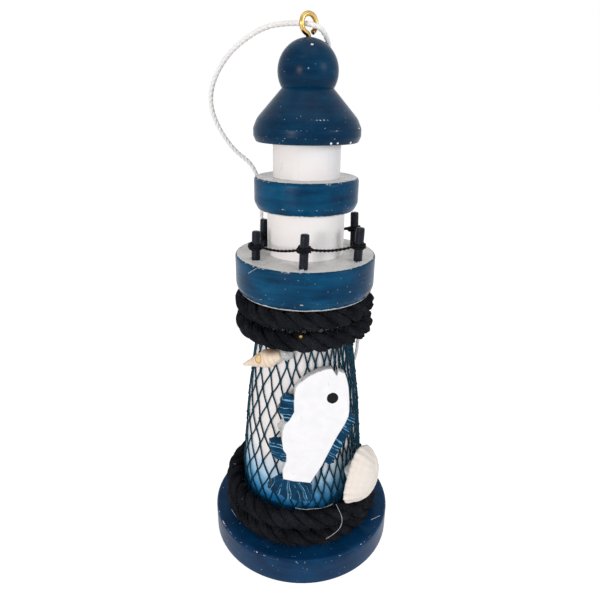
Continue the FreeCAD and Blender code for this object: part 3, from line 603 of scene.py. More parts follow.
turned("upper_disc_paint", "upper_disc", BAND_BLUE, [
    (0, DISC_UNDERSIDE, 0), (DISC_RADIUS - 1.1, DISC_UNDERSIDE, 1.0), (DISC_RADIUS, DISC_UNDERSIDE + 2.2, 2.6),
    (DISC_RADIUS, DISC_TOP, 1.0), (0, DISC_TOP, 0),
], white_flats(DISC_RADIUS, DISC_TOP, DISC_UNDERSIDE + 0.45, 0.6))  # fmt: skip
turned("roof_paint", "roof_cap", ROOF_NAVY, [
    (0, ROOF_UNDERSIDE, 0), (ROOF_RADIUS - 0.75, ROOF_UNDERSIDE, 0.7), (ROOF_RADIUS, ROOF_UNDERSIDE + 1.7, 1.4),
    (ROOF_RADIUS, ROOF_UNDERSIDE + 3.7, 1.6), (ROOF_RADIUS - 1.1, ROOF_UNDERSIDE + 6.3, 5.0),
    (ROOF_CREASE_RADIUS, ROOF_CREASE, 0.0), *ball_arc,
])  # fmt: skip


# ---- ropes
ROPE_STEPS = 760
ROPE_LAY, YARN_LAY = 14.5, 22.0
YARNS = 7
FIBRES, LINTS = 2600, 10


def rope_line(inner_radius, bottom, diameter):
    """One turn and three quarters from the back: flat round the front, a climb at the back, and flat again."""
    radius = inner_radius + diameter / 2
    pitch = diameter + TURN_GAP
    line = []
    for step in range(ROPE_STEPS + 1):
        quarter = 7.0 * step / ROPE_STEPS
        share = min(1.0, max(0.0, quarter - 3.0))
        rise = share * share * (3 - 2 * share)
        angle = radians(135) + quarter * pi / 2
        line.append(polar(radius, angle, bottom + diameter / 2 + pitch * rise))
    return line


def rope(name, node, inner_radius, bottom, diameter, seed):
    """Three strands of soft cotton, each of yarns that twist the other way, with loose fibres all over."""
    line = rope_line(inner_radius, bottom, diameter)
    centres, strand_radius = strands(line, diameter / 2, 3, ROPE_LAY, wobble=0.25)
    parts = []
    for number, centre in enumerate(centres):

        def yarn(angle, far, number=number):
            bulge = 0.05 * noise.noise(Vector((cos(angle), sin(angle), far * 0.22 + 31 * number + seed)))
            return 0.93 + 0.08 * cos(YARNS * (angle - FULL_TURN * far / YARN_LAY)) + bulge

        parts.append(tube(centre, strand_radius, 42, yarn))
    piece(name, joined(parts), ROPE_BLACK, [node])
    fuzz(name + "_fuzz", line, diameter / 2, seed)


def fuzz(name, line, radius, seed):
    """Loose fibres that stand off the rope: most are black cotton, coloured lighter grey than the rope as a painted
    highlight, and a few are white lint.
    """
    draw = random.Random(seed)
    frames = carried_frames(line)
    for suffix, count, finish, thick in (("", FIBRES, FUZZ_GREY_PAINTED_HIGHLIGHT, 0.020), ("_lint", LINTS, LINT_WHITE, 0.05)):
        curve = new_curve(name + suffix, "3D", thick)
        for _ in range(count):
            spot = draw.randrange(2, len(line) - 2)
            across, up = frames[spot]
            angle = draw.uniform(0, FULL_TURN)
            out = spoke(across, up, angle)
            way = Vector([draw.uniform(-1, 1) for _ in range(3)]) * 0.8 + out * draw.uniform(0.1, 0.7)
            bend = Vector([draw.uniform(-1, 1) for _ in range(3)]) * 0.5
            start = line[spot] + out * radius * 0.94
            reach = draw.uniform(0.5, 1.5) * (0.7 if suffix else 1.0)
            fibre = [start + way * (reach * share) + bend * (reach * share * share) for share in (0, 1 / 3, 2 / 3, 1)]
            lay(curve, "POLY", [point * MM for point in fibre])
        curve.materials.append(finish)
        carried(name + suffix, curve)


rope("lower_rope_strands", "lower_rope", TOWER_FOOT_RADIUS + 0.8, low("lower_rope").z, LOWER_ROPE, 3)
rope("upper_rope_strands", "upper_rope", TOWER_TOP_RADIUS + 0.8, low("upper_rope").z, UPPER_ROPE, 11)


# ---- fishing net
def wood_radius(height):
    corners = [
        (BASE_TOP, TOWER_FOOT_RADIUS),
        (TOWER_FOOT_TOP, TOWER_FOOT_RADIUS),
        (TOWER_WAIST, TOWER_WAIST_RADIUS),
        (TOWER_CONE_TOP, TOWER_TOP_RADIUS),
        (GALLERY_UNDERSIDE, TOWER_TOP_RADIUS),
    ]
    for (start, start_radius), (end, end_radius) in zip(corners, corners[1:]):
        if height <= end:
            share = max(0.0, (height - start) / (end - start))
            return start_radius + (end_radius - start_radius) * share
    return TOWER_TOP_RADIUS


NET_AROUND, NET_ROWS = 33, 14
KNOT_LIFT = 0.12
NET_BOTTOM = BASE_TOP + 6.0
NET_TOP = GALLERY_UNDERSIDE - 4.0
BUNCHED_AT = radians(-28)  # the side where the net was gathered


def net_crossing(mesh, level):
    """Where two twines cross, pulled about a little, closer together at the gathered side."""
    turn = FULL_TURN * (mesh + 0.5 * (level % 2)) / NET_AROUND
    shift = Vector((turn * 3, level * 0.9, 0.3))
    turn -= 0.50 * sin(turn - BUNCHED_AT)
    turn += 0.05 * noise.noise(shift * 1.7)
    height = NET_BOTTOM + (NET_TOP - NET_BOTTOM) * level / NET_ROWS
    if 0 < level < NET_ROWS:
        height += 1.5 * noise.noise(shift * 1.3 + Vector((9, 4, 2)))
    return turn, height


def net_point(turn, height, lift=0.0):
    return polar(wood_radius(height) + NET_SEAT + lift, turn, height)


def fishing_net():
    """Knotted twine meshes over the tower, from under the lower rope to under the upper one."""
    curve = new_curve("fishing_net_twine", "3D", TWINE_RADIUS, 1)
    knots = []
    for mesh in range(NET_AROUND):
        for lean in (0, 1):
            route = []
            place_now = mesh
            for level in range(NET_ROWS + 1):
                turn, height = net_crossing(place_now % NET_AROUND, level)
                turn += FULL_TURN * (place_now // NET_AROUND)
                if route:
                    last_turn, last_height = route[-1]
                    while turn - last_turn > pi:
                        turn -= FULL_TURN
                    while turn - last_turn < -pi:
                        turn += FULL_TURN
                    bow = 0.012 * sin(mesh * 2.3 + level * 1.7)
                    for step in (1, 2, 3):
                        share = step / 4
                        route_turn = last_turn + (turn - last_turn) * share + bow * sin(pi * share)
                        route.append((route_turn, last_height + (height - last_height) * share))
                route.append((turn, height))
                # Leaning right, the twine goes to the next mesh after odd levels; leaning left, before even ones.
                if lean:
                    place_now -= 1 - level % 2
                else:
                    place_now += level % 2
                    knots.append((turn, height))
            lifts = [KNOT_LIFT if (number // 4 + lean) % 2 else 0.0 for number in range(len(route))]
            lay(curve, "POLY", [net_point(*spot, lift) * MM for spot, lift in zip(route, lifts)])
    curve.materials.append(NET_TEAL)
    carried("fishing_net_twine", curve, ["fishing_net"])
    parts = []
    for turn, height in knots:
        middle = net_point(turn, height, KNOT_LIFT)
        parts.append(lump(middle, Vector((0.42, 0.42, 0.55)), 8, 5, turn * 7))
    piece("fishing_net_knots", joined(parts), NET_TEAL)


def lump(middle, reach, around, rings, seed, unevenness=0.18):
    """A small uneven ball."""
    points = []
    for ring in range(1, rings):
        tilt = pi * ring / rings
        for side in range(around):
            angle = FULL_TURN * side / around
            out = Vector((sin(tilt) * cos(angle), sin(tilt) * sin(angle), cos(tilt)))
            share = 1 + unevenness * noise.noise(out * 1.6 + Vector((seed, 2 * seed, 5)))
            points.append(middle + Vector([a * b for a, b in zip(out, reach)]) * share)
    faces = [face[::-1] for face in quads(rings - 1, around)]
    top, bottom = len(points), len(points) + 1
    points += [middle + Vector((0, 0, reach[2])), middle - Vector((0, 0, reach[2]))]
    last = (rings - 2) * around
    for side in range(around):
        following = (side + 1) % around
        faces.append([top, side, following])
        faces.append([bottom, last + following, last + side])
    return points, faces


fishing_net()


# ---- fence
def post_ends(node):
    """The middles of a stick's two ends."""
    places = [vertex.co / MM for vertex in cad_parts[node].data.vertices]
    middle = sum((p.z for p in places)) / len(places)
    lower = [p for p in places if p.z < middle]
    upper = [p for p in places if p.z >= middle]
    return sum(lower, Vector()) / len(lower), sum(upper, Vector()) / len(upper)


POST_NODES = [f"fence_post_{number}" for number in range(1, 7)]
POST_RADIUS = 1.3
RAIL_UPS = [5.6, 3.92, 3.58, 4.6, 5.6, 4.6]  # from the gallery's top, along each post
RAIL_SAG = 0.8
RAIL_TWINE, RAIL_LAY = 0.45, 2.6
TAIL_TURN = radians(215)


def fence_post(node, seed):
    foot, top = post_ends(node)
    way = top - foot
    line = [foot + way * share for share in (0, 0.04, 0.1, 0.16, 0.19, 0.3, 0.45, 0.6, 0.75, 0.9, 0.965, 0.99, 1.0)]
    along = lengths_along(line)
    radii = {0: 0.9, len(line) - 1: 0.72, len(line) - 2: 0.9, len(line) - 3: 0.98}

    def whittled(angle, far):
        lumpy = 0.05 * noise.noise(Vector((cos(angle), sin(angle), far * 0.35 + seed * 5)))
        return radii.get(nearest(along, far), 1.0) * (0.97 + lumpy)

    points, faces = tube(line, POST_RADIUS, 20, whittled)
    surface = foot + way * (2.0 / way.length)
    edges = [0.9 if abs((p - surface).dot(way.normalized())) < 0.9 else 0.0 for p in points]
    piece(node + "_stick", (points, faces), POST_BLACK, [node], {"edge": edges}, sharp=60)


def twisted_twine(line):
    """Two thin strands laid together."""
    centres, strand_radius = strands(line, RAIL_TWINE, 2, RAIL_LAY, fullness=0.56)
    return [tube(centre, strand_radius, 8) for centre in centres]


def even_line(points, step):
    """The same line with points about that far apart."""
    line = []
    for start, end in zip(points, points[1:]):
        count = max(1, int((end - start).length / step))
        line += [start.lerp(end, k / count) for k in range(count)]
    return line + [points[-1]]


def rail_hitch(knot, way, seed):
    """Two round turns of twine on a post, and the hitch that locks them."""
    across = way.orthogonal().normalized()
    up = way.cross(across)
    reach = POST_RADIUS + RAIL_TWINE * 0.9
    line = []
    for step in range(61):
        angle = FULL_TURN * 2.3 * step / 60 + seed
        line.append(knot + spoke(across, up, angle) * reach + way * (1.5 * (step / 60 - 0.5)))
    side = line[30] - knot
    hitch = lump(knot + side * 0.98, Vector((0.75, 0.75, 0.85)), 12, 8, seed, 0.35)
    return twisted_twine(line) + [hitch]


def fence_rail():
    """Twine hitched to each post in turn, hanging a little in between, its end left loose on the fifth."""
    knots, ways = [], []
    for node, rail_up in zip(POST_NODES, RAIL_UPS):
        foot, top = post_ends(node)
        way = (top - foot).normalized()
        knots.append(foot + way * (2.0 + rail_up))
        ways.append(way)
    parts = []
    for number, (knot, way) in enumerate(zip(knots, ways)):
        parts += rail_hitch(knot, way, number * 1.3)
        following = knots[(number + 1) % len(knots)]
        across = (following - knot).normalized()
        start, end = knot + across * POST_RADIUS, following - across * POST_RADIUS
        span = [
            start.lerp(end, share / 24) - Vector((0, 0, RAIL_SAG * 4 * (share / 24) * (1 - share / 24)))
            for share in range(25)
        ]
        parts += twisted_twine(even_line(span, 0.3))
    tail_way = polar(1, TAIL_TURN) + Vector((0, 0, 0.1))
    tail_start = knots[4] + polar(POST_RADIUS, TAIL_TURN)
    tail = [tail_start + tail_way * (3.3 * k / 14) + Vector((0, 0, 0.4 * sin(k / 4))) for k in range(15)]
    parts += twisted_twine(tail)
    piece("fence_rail_twine", joined(parts), RAIL_BLACK, ["fence_rail"])


for number, node in enumerate(POST_NODES):
    fence_post(node, number)
fence_rail()


# ---- fish
FISH_TURN, FISH_LEAN = radians(8.0), radians(6.7)
FISH_OUT = TOWER_WAIST_RADIUS + 0.55 + 0.8
FISH_UP = BASE_TOP + 40.4
FISH_FRAME = (
    Matrix.Translation(polar(FISH_OUT, -pi / 2 + FISH_TURN, FISH_UP))
    @ Matrix.Rotation(FISH_TURN, 4, "Z")
    @ Matrix.Rotation(pi / 2 - FISH_LEAN, 4, "X")
)

# Outlines on the board's face in millimetres, right and up from its middle.
FISH_BODY = [
    (-5.2, 14.4), (-5.0, 16.4), (-4.2, 17.6), (-2.6, 18.8), (-0.9, 20.0), (1.6, 21.1), (3.8, 21.8), (5.6, 21.9),
    (6.4, 20.8), (7.2, 19.4), (7.6, 19.8), (8.0, 21.0), (8.7, 20.6), (9.5, 20.2), (10.2, 18.4), (10.6, 16.2),
    (10.9, 13.7), (11.1, 10.8), (11.2, 8.3), (11.0, 6.2), (10.0, 3.8), (8.5, 1.2), (7.1, -1.4), (5.8, -4.2),
    (4.0, -7.8), (3.0, -10.0), (1.2, -12.8), (-0.8, -15.9), (-3.2, -15.4), (-5.9, -14.8), (-9.0, -13.8),
    (-9.1, -10.7), (-8.1, -7.8), (-8.1, -5.4), (-9.0, -3.8), (-9.4, -0.4), (-9.1, 2.3), (-8.5, 4.8),
    (-6.9, 6.2), (-5.5, 8.8), (-5.5, 12.0),
]  # fmt: skip
UPPER_FIN = [
    (-8.7, 13.5), (-7.4, 14.4), (-6.6, 13.6), (-4.6, 13.4), (-4.4, 8.0), (-6.2, 6.6), (-7.6, 5.6), (-8.6, 6.3),
    (-8.8, 7.8), (-9.8, 8.7), (-10.1, 10.1), (-9.4, 11.0), (-9.5, 12.2),
]  # fmt: skip
LOWER_FIN = [
    (-13.0, -0.9), (-11.4, -0.6), (-10.2, -0.9), (-8.8, -0.4), (-8.0, -3.0), (-7.4, -7.9), (-9.3, -7.9),
    (-10.2, -7.0), (-11.0, -6.8), (-12.0, -5.8), (-12.6, -4.8), (-12.2, -3.8), (-13.1, -2.8),
]  # fmt: skip
DORSAL_FIN = [
    (11.0, 7.2), (12.0, 6.9), (12.3, 5.9), (13.2, 5.5), (12.7, 4.4), (13.0, 3.7), (11.8, 2.9), (12.1, 1.9),
    (11.1, 1.4), (11.5, 0.2), (10.2, -0.6), (10.3, -1.9), (9.3, -2.6), (9.4, -4.2), (8.2, -4.6), (7.9, -6.2),
    (7.1, -7.2), (6.7, -9.6), (5.2, -9.9), (3.6, -8.6), (5.2, -4.6), (7.6, -0.4), (10.0, 4.4),
]  # fmt: skip
TAIL_FIN = [
    (-8.6, -13.0), (-10.2, -13.9), (-11.6, -14.6), (-12.9, -15.3), (-13.9, -16.6), (-12.6, -17.6), (-11.4, -18.9),
    (-9.6, -19.6), (-8.4, -20.9), (-6.4, -21.2), (-4.8, -22.3), (-2.9, -22.2), (-1.0, -22.9), (0.0, -20.4),
    (-0.3, -18.0), (-0.4, -15.4), (-4.0, -14.2),
]  # fmt: skip


FIN_BACK, FIN_FRONT, FIN_EASING = 0.1, FISH_THICKNESS - 0.15, 0.18
TAIL_SPREAD_FROM = (-4.5, 42.0)
SAW_WOBBLE = 0.15


def board(outline, back, front, easing):
    """A sawn board from an outline: its back and front heights, and an eased front edge."""
    curve = new_curve("board", "2D", easing, 2)
    curve.fill_mode = "BOTH"
    curve.extrude = ((front - back) / 2 - easing) * MM
    points = []
    for right, up in outline:
        inward = Vector((right, up)) - Vector((right, up)).normalized() * easing
        wobble = SAW_WOBBLE * noise.noise(Vector((right, up, 1.0)))
        points.append(((inward.x + wobble) * MM, (inward.y + wobble) * MM, 0))
    lay(curve, "POLY", points).use_cyclic_u = True
    mesh = mesh_from(curve)
    mesh.transform(Matrix.Translation((0, 0, (back + front) / 2 * MM)))
    return mesh


def fish():
    """One board, its fins a shade thinner and scored, with a dot for its eye."""
    boards = [("fish_body", FISH_BODY, 0.0, FISH_THICKNESS, 0.25, FISH_WHITE)]
    for part, outline, slant, fan in (
        ("upper", UPPER_FIN, 80, None),
        ("lower", LOWER_FIN, 70, None),
        ("dorsal", DORSAL_FIN, 52, None),
        ("tail", TAIL_FIN, 0, TAIL_SPREAD_FROM),
    ):
        blue = scored_fin_blue(part + "_fin_blue", slant, fan)
        boards.append((f"fish_{part}_fin", outline, FIN_BACK, FIN_FRONT, FIN_EASING, blue))
    to_world = Matrix.Scale(MM, 4) @ FISH_FRAME @ Matrix.Scale(1 / MM, 4)
    for name, outline, back, front, easing, finish in boards:
        mesh = board(outline, back, front, easing)
        for face in mesh.polygons:
            face.material_index = 1 if finish is FISH_WHITE and face.normal.z < 0.8 else 0
        mesh.transform(to_world)
        dressed(name, mesh, [finish, FISH_EDGE], ["fish"] if name == "fish_body" else [], 30)
    around = 28
    rings = [(0.0, 0.12), (0.9, 0.12), (1.45, 0.09), (1.75, 0.0)]
    points = [Vector((0, 0, rings[0][1]))]
    for radius, height in rings[1:]:
        for side in range(around):
            uneven = 1 + 0.05 * noise.noise(Vector((side * 0.5, 3, 1)))
            points.append(polar(radius * uneven, FULL_TURN * side / around, height))
    faces = [[0, 1 + side, 1 + (side + 1) % around] for side in range(around)]
    for ring in range(len(rings) - 2):
        for side in range(around):
            a, b = 1 + ring * around + side, 1 + ring * around + (side + 1) % around
            faces.append([a, a + around, b + around, b])
    last = 1 + (len(rings) - 2) * around
    faces.append([last + side for side in range(around)][::-1])
    at = Vector((6.0, 12.5, FISH_THICKNESS))
    points = [FISH_FRAME @ (p + at) for p in points]
    piece("fish_eye", (points, faces), EYE_BLACK, sharp=60)


fish()


# ---- shells
def turret_shell():
    """A cone of whorls that a fine seam winds round, its brown mouth near the wide end."""
    radius, length, turns = 2.9, 13.2, 7
    mouth = polar(TOWER_TOP_RADIUS + 0.55 + 2.6, radians(248), low("upper_rope").z - 2.2)
    tip = mouth + Vector((-0.88, 0.27, -0.40)).normalized() * length
    way = (mouth - tip).normalized()
    line = [tip + way * (length * step / 150) for step in range(151)]

    def whorls(angle, far):
        seam = abs(sin(pi * (angle / FULL_TURN + turns * (far / length) ** 0.55)))
        return 0.90 + 0.10 * seam ** 0.5

    def widening(far):
        share = far / length
        if share < 0.62:
            return radius * (0.13 + 0.90 * share / 0.66)
        return radius * max(0.3, cos((share - 0.62) * 3.0))

    points, faces = tube(line, widening, 40, whorls)
    toward_eye = Vector((0, -0.75, 0.66))
    golden_at = tip + way * (length * 0.45) + toward_eye * radius * 0.75
    mouth_at = tip + way * (length * 0.74) + Vector((0, -0.20, 0.98)) * radius
    values = {
        "growth": [(p - tip).length * 0.9 for p in points],
        "golden": [max(0.0, 1 - (p - golden_at).length / 2.1) for p in points],
        "opening": [max(0.0, 1 - (p - mouth_at).length / 2.6) for p in points],
    }
    piece("turret_shell", (points, faces), TURRET, ["spiral_shell"], values)


COCKLE_SIZE = (19.4, 14.0, 5.9)  # along the margin, from the beak to the margin, and depth
COCKLE_RIBS = 38  # to a full turn round the beak


def cockle_shell():
    """A smooth dome with a rounded back, its ribs fanning out faintly from the beak to a toothed margin."""
    face_out = (polar(1, radians(321.8)) + Vector((0, 0, 0.02))).normalized()
    to_margin = Vector((-0.58, -0.72, 0.40))
    to_margin = (to_margin - face_out * to_margin.dot(face_out)).normalized()
    across = to_margin.cross(face_out).normalized()
    middle = polar(TOWER_FOOT_RADIUS + 0.55, radians(319.1), BASE_TOP + 22.3) + face_out * 3.4
    width, height, depth = COCKLE_SIZE
    rings, around = 40, 240
    points, growth = [], []
    for shrink, drop in ((1.0, 0.0), (0.93, 0.8)):
        for ring in range(1, rings + 1):
            reach = ring / rings
            for step in range(around):
                angle = FULL_TURN * step / around
                blunt = 0.62 if cos(angle) > 0 else 1.0
                side = copysign(abs(sin(angle)) ** blunt, sin(angle)) * width / 2 * reach
                up = copysign(abs(cos(angle)) ** blunt, cos(angle)) * height / 2 * reach
                fan = atan2(side, up + height * 0.6)
                crest = cos(COCKLE_RIBS * fan)
                tooth = 0.45 * crest * max(0.0, reach - 0.9) / 0.1 * max(0.0, up) / height * 2
                dome = depth * (1 - reach ** (1.9 if up > 0 else 2.6)) ** 0.7
                out = Vector((sin(fan), cos(fan), 0)) * tooth
                x, y = side * shrink + out.x, up * shrink + out.y - 0.08 * height * (1 - reach)
                z = max(0.0, dome - drop) + 0.18 * crest * reach + (0.25 if drop == 0 else 0.0)
                points.append(middle + across * x + to_margin * y + face_out * z)
                growth.append(reach * 5 + (3 if drop else 0))
    inner = rings * around
    faces = [face[::-1] for face in quads(rings, around)] + quads(rings, around, start=inner)
    faces += [list(range(around)), [inner + step for step in range(around)][::-1]]
    for step in range(around):
        a, b = inner - around + step, inner - around + (step + 1) % around
        faces.append([b, a, a + inner, b + inner])
    still = [0.0] * len(points)
    values = {"growth": growth, "golden": still, "opening": still}
    piece("cockle_shell", (points, faces), COCKLE, ["scallop_shell"], values)


turret_shell()
cockle_shell()


# ---- glue
def glue_blob(name, node, seed, shrink):
    """A blob of glue that fills the place of its CAD dab."""
    lowest, highest = low(node), high(node)
    middle = (lowest + highest) / 2
    reach = (highest - lowest) * shrink
    piece(name, lump(middle, reach, 32, 20, seed, 0.25), GLUE, [node])


glue_blob("turret_shell_glue", "spiral_shell_glue", 3, 0.42)
glue_blob("cockle_shell_glue", "scallop_glue", 5, 0.33)
glue_parts = []
for number, (right, up) in enumerate([(-6.5, 2.5), (1.5, -2.0)]):
    middle = FISH_FRAME @ Vector((right, up, -0.5))
    glue_parts.append(lump(middle, Vector((3.4, 1.1, 3.4)), 32, 20, number + 2, 0.25))
piece("fish_board_glue", joined(glue_parts), GLUE, ["fish_glue"])


# Chips in the roof's paint, down to the white undercoat: angle, radius, height and size.
CHIPS = [
    (-81, 5.55, 158.5, 0.42),
    (-65, 14.5, ROOF_UNDERSIDE + 0.6, 0.42),
    (-57, 14.6, ROOF_UNDERSIDE + 0.6, 0.32),
    (-38, 14.6, ROOF_UNDERSIDE + 0.6, 0.32),
    (-22, 14.95, ROOF_UNDERSIDE + 4.0, 0.28),
]
chip_parts = [
    lump(polar(radius, radians(angle), height), Vector((across, across, across * 0.8)), 10, 8, angle, 0.6)
    for angle, radius, height, across in CHIPS
]
piece("roof_chips", joined(chip_parts), LANTERN_WHITE)


# ---- screw eye
def screw_eye():
    """Wire bent into a ring on a straight shank, its cut end beside the shank."""
    turn = Matrix.Rotation(EYE_TURN, 3, "Z")

    def on_ring(angle):
        return Vector((EYE_RADIUS * cos(angle), 0, EYE_CENTRE + EYE_RADIUS * sin(angle)))

    start, end = radians(250), radians(-58)
    first = on_ring(start)
    bend = -first.x / (1 - cos(start - pi))
    line = [Vector((0, 0, BALL_TOP - 9.0 + k)) for k in range(10)]
    foot = first.z - bend * sin(start - pi)
    line = [point for point in line if point.z < foot - 0.3]
    for step in range(9):
        angle = (start - pi) * step / 8
        line.append(Vector((-bend * (1 - cos(angle)), 0, foot + bend * sin(angle))))
    for step in range(1, 73):
        line.append(on_ring(start + (end - start) * step / 72))
    line = [turn @ point for point in line]
    points, faces = tube(line, WIRE_RADIUS, 20)
    dark = []
    for point in points:
        cut = max(0.0, 1 - (point - line[-1]).length / 1.0)
        seat = max(0.0, 1 - abs(point.z - BALL_TOP) / 0.9)
        dark.append(min(1.0, max(cut * 1.4, seat)))
    piece("screw_eye_wire", (points, faces), BRASS, ["screw_eye"], {"edge": dark}, sharp=50)


def rope_brad():
    """A small brass pin between the upper rope's two turns."""
    lowest, highest = low("rope_brad"), high("rope_brad")
    inward = polar(-1, radians(267.6))
    start = Vector((lowest.x + 0.55, lowest.y, (lowest.z + highest.z) / 2))
    line = [start + inward * far for far in (0.0, 0.1, 0.3, 0.5, 0.52, 2.0, 6.0, highest.y - lowest.y)]
    radii = [0.25, 0.45, 0.55, 0.52, 0.2, 0.2, 0.2, 0.15]
    along = lengths_along(line)

    def radius(far):
        return radii[nearest(along, far)]

    points, faces = tube(line, radius, 16)
    piece("rope_brad_pin", (points, faces), BRASS, ["rope_brad"], {"edge": [0.55] * len(points)}, sharp=40)


screw_eye()
rope_brad()


# ---- hanging cord
CORD_RADIUS = 0.0007
CORD_LAY = 4.6  # millimetres
# The route's points, in metres: from the knot up behind the ornament, round by the left, through the screw eye
# and down behind it again.
CORD_ROUTE = [
    (-0.0016, 0.0228, 0.0385), (-0.0045, 0.0224, 0.0550), (-0.0100, 0.0220, 0.0740), (-0.0156, 0.0190, 0.0920),
    (-0.0146, 0.0184, 0.1110), (-0.0158, 0.0174, 0.1250), (-0.0245, 0.0154, 0.1315), (-0.0304, 0.0126, 0.1445),
    (-0.0245, 0.0100, 0.1565), (-0.0135, 0.0054, 0.1636), (-0.0054, 0.0022, 0.1645), (0.0026, -0.0009, 0.1638),
    (0.0056, 0.0034, 0.1602), (0.0058, 0.0094, 0.1545), (0.0056, 0.0146, 0.1470), (0.0054, 0.0176, 0.1310),
    (0.0095, 0.0206, 0.1120), (0.0144, 0.0206, 0.0930), (0.0186, 0.0182, 0.0760), (0.0204, 0.0170, 0.0580),
    (0.0135, 0.0206, 0.0435), (0.0016, 0.0228, 0.0385),
]  # fmt: skip


def smooth_line(route):
    """The points of a smooth spline with these control points."""
    curve = new_curve("route", "3D")
    curve.resolution_u = 24
    spline = lay(curve, "NURBS", route)
    spline.order_u = 3
    spline.use_endpoint_u = True
    return [vertex.co.copy() for vertex in mesh_from(curve).vertices]


def hanging_cord():
    """Three white cotton strands laid together, in one loop from the knot and back."""
    line = smooth_line(CORD_ROUTE)
    fine = even_line([point / MM for point in line], 0.35)
    centres, strand_radius = strands(fine, CORD_RADIUS / MM, 3, CORD_LAY, fullness=0.62)
    laid = joined([tube(centre, strand_radius, 10) for centre in centres])
    cord = piece("hanging_cord_strands", laid, CORD_WHITE, ["hanging_cord"])
    centre = (Vector(CORD_ROUTE[0]) + Vector(CORD_ROUTE[-1])) / 2 / MM
    loop = []
    for step in range(90):
        t = FULL_TURN * step / 90
        trefoil = (0.52 * (sin(t) + 2 * sin(2 * t)), 0.75 * sin(3 * t), 0.52 * (cos(t) - 2 * cos(2 * t)))
        loop.append(centre + Vector(trefoil))
    loop.append(loop[0])
    knot_parts = [tube(loop, 0.66, 12)]
    for side in (-1, 1):
        tail = [centre + Vector((side * (0.5 + 0.05 * k * k), 0.1 * k, -1.2 - 0.75 * k)) for k in range(7)]
        knot_parts.append(tube(tail, 0.62, 12))
    knot = piece("cord_overhand_knot", joined(knot_parts), CORD_WHITE, ["cord_knot"])


hanging_cord()

# Glue drawn out as threads when the gun came away, glue squeezed up at the tower's foot, and stray lint: the
# name, finish, slot, radius and route of each, in millimetres.
THREADS = [
    ("glue_thread_0", GLUE, "hot_glue", 0.07, [
        (-10.0, -12.0, 102.5), (-11.6, -14.6, 102.7), (-12.9, -17.4, 102.5), (-15.2, -20.6, 101.8)]),
    ("glue_thread_1", GLUE, "hot_glue", 0.07, [
        (11.1, -22.4, 25.0), (12.3, -24.4, 24.0), (13.4, -25.0, 20.6), (11.9, -25.9, 17.0), (8.0, -27.5, 15.6)]),
    ("glue_seam", GLUE, "hot_glue", 0.11, [
        (-1.9, -21.9, 22.7), (0.9, -22.0, 22.0), (3.8, -21.7, 22.3), (6.1, -21.1, 21.8), (8.5, -20.3, 21.9),
        (10.3, -19.4, 22.3)]),
    ("base_lint_0", LINT_WHITE, "black_rope", 0.07, [
        (-24.6, -10.4, 10.3), (-23.6, -11.8, 10.0), (-22.6, -13.5, 10.3)]),
    ("base_lint_1", LINT_WHITE, "black_rope", 0.07, [
        (24.3, -13.4, 9.9), (26.2, -12.2, 9.8), (27.7, -11.4, 9.9)]),
]  # fmt: skip
for name, finish, slot, radius, route in THREADS:
    line = smooth_line([Vector(point) * MM for point in route])
    piece(name, tube([point / MM for point in line], radius, 6), finish)


# ---- floor, lamps and camera
def seen_directly(tree):
    """1 for what the camera sees, also in mirrors and through glass, and 0 for light that falls on things."""
    rays = add(tree, "LightPath").outputs
    seen = add(tree, "Math", rays["Is Camera Ray"], rays["Is Glossy Ray"], operation="MAXIMUM")
    return add(tree, "Math", seen, rays["Is Transmission Ray"], operation="MAXIMUM")


FLOOR_REACH = 3.0
LAMP_AIM, LAMP_DISTANCE = Vector((0, 0, 0.09)), 0.65


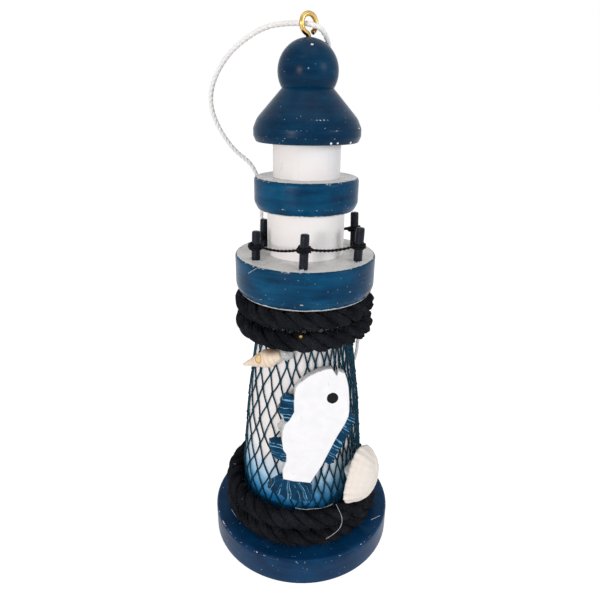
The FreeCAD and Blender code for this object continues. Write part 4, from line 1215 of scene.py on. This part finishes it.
def studio():
    """A white paper sweep in a white room, with a lamp from each side and one from above."""
    made, tree = new_material("white_paper_sweep")
    brightness = add(tree, "Math", seen_directly(tree), 0.64, operation="MULTIPLY")
    glow = add(tree, "Emission", "FFFFFF", brightness)
    add(tree, "OutputMaterial", add(tree, "AddShader", add(tree, "BsdfDiffuse", "F4F4F4"), glow))
    mesh = bpy.data.meshes.new("paper_floor")
    corners = [(x * FLOOR_REACH, y * FLOOR_REACH, 0) for x, y in ((-1, -1), (1, -1), (1, 1), (-1, 1))]
    mesh.from_pydata(corners, [], [(0, 1, 2, 3)])
    mesh.materials.append(made)
    shown("paper_floor", mesh)

    world = bpy.data.worlds.new("white_room")
    scene.world = world
    world.use_nodes = True
    tree = world.node_tree
    tree.nodes.clear()
    strength = add(tree, "MapRange", seen_directly(tree), 0.0, 1.0, 0.43, 1.0)
    add(tree, "OutputWorld", add(tree, "Background", "FFFFFF", strength))

    # Angles in degrees from the camera's side and from level, power in watts, size in metres.
    for name, azimuth, elevation, power, size, colour in (
        ("window_left", -32, 8, 1.65, 0.16, "FFF8F6"),
        ("window_right", 60, 18, 1.1, 0.20, "F7F9FF"),
        ("soft_top", 10, 70, 0.7, 0.50, "FFFFFF"),
    ):
        lamp = bpy.data.lights.new(name, "AREA")
        lamp.energy = power
        lamp.size = size
        lamp.color = linear(colour)[:3]
        holder = shown(name, lamp)
        side, rise = radians(azimuth), radians(elevation)
        away = Vector((sin(side) * cos(rise), -cos(side) * cos(rise), sin(rise)))
        holder.location = LAMP_AIM + away * LAMP_DISTANCE
        holder.rotation_mode = "QUATERNION"
        holder.rotation_quaternion = (-away).to_track_quat("-Z", "Y")


CAMERA_AT = Vector((0, -0.150, 0.14506))
CAMERA_PITCH, CAMERA_ROLL, CAMERA_YAW = radians(21.40), radians(-0.7086), radians(-0.5468)
CAMERA_LENS = 30.43  # millimetres on a 36 mm frame


def camera():
    """The photograph's view."""
    lens = bpy.data.cameras.new("photo_camera")
    lens.lens = CAMERA_LENS
    lens.sensor_width = 36.0
    lens.clip_start, lens.clip_end = 0.005, 20.0
    holder = shown("photo_camera", lens)
    flat = cos(CAMERA_PITCH)
    forward = Vector((sin(CAMERA_YAW) * flat, cos(CAMERA_YAW) * flat, -sin(CAMERA_PITCH)))
    level = Vector((cos(CAMERA_YAW), -sin(CAMERA_YAW), 0))
    down = forward.cross(level)
    right = level * cos(CAMERA_ROLL) + down * sin(CAMERA_ROLL)
    down = down * cos(CAMERA_ROLL) - level * sin(CAMERA_ROLL)
    turn = Matrix((right, -down, -forward)).transposed()
    holder.matrix_world = Matrix.Translation(CAMERA_AT) @ turn.to_4x4()
    scene.camera = holder


studio()
camera()
scene.view_settings.view_transform = "Standard"
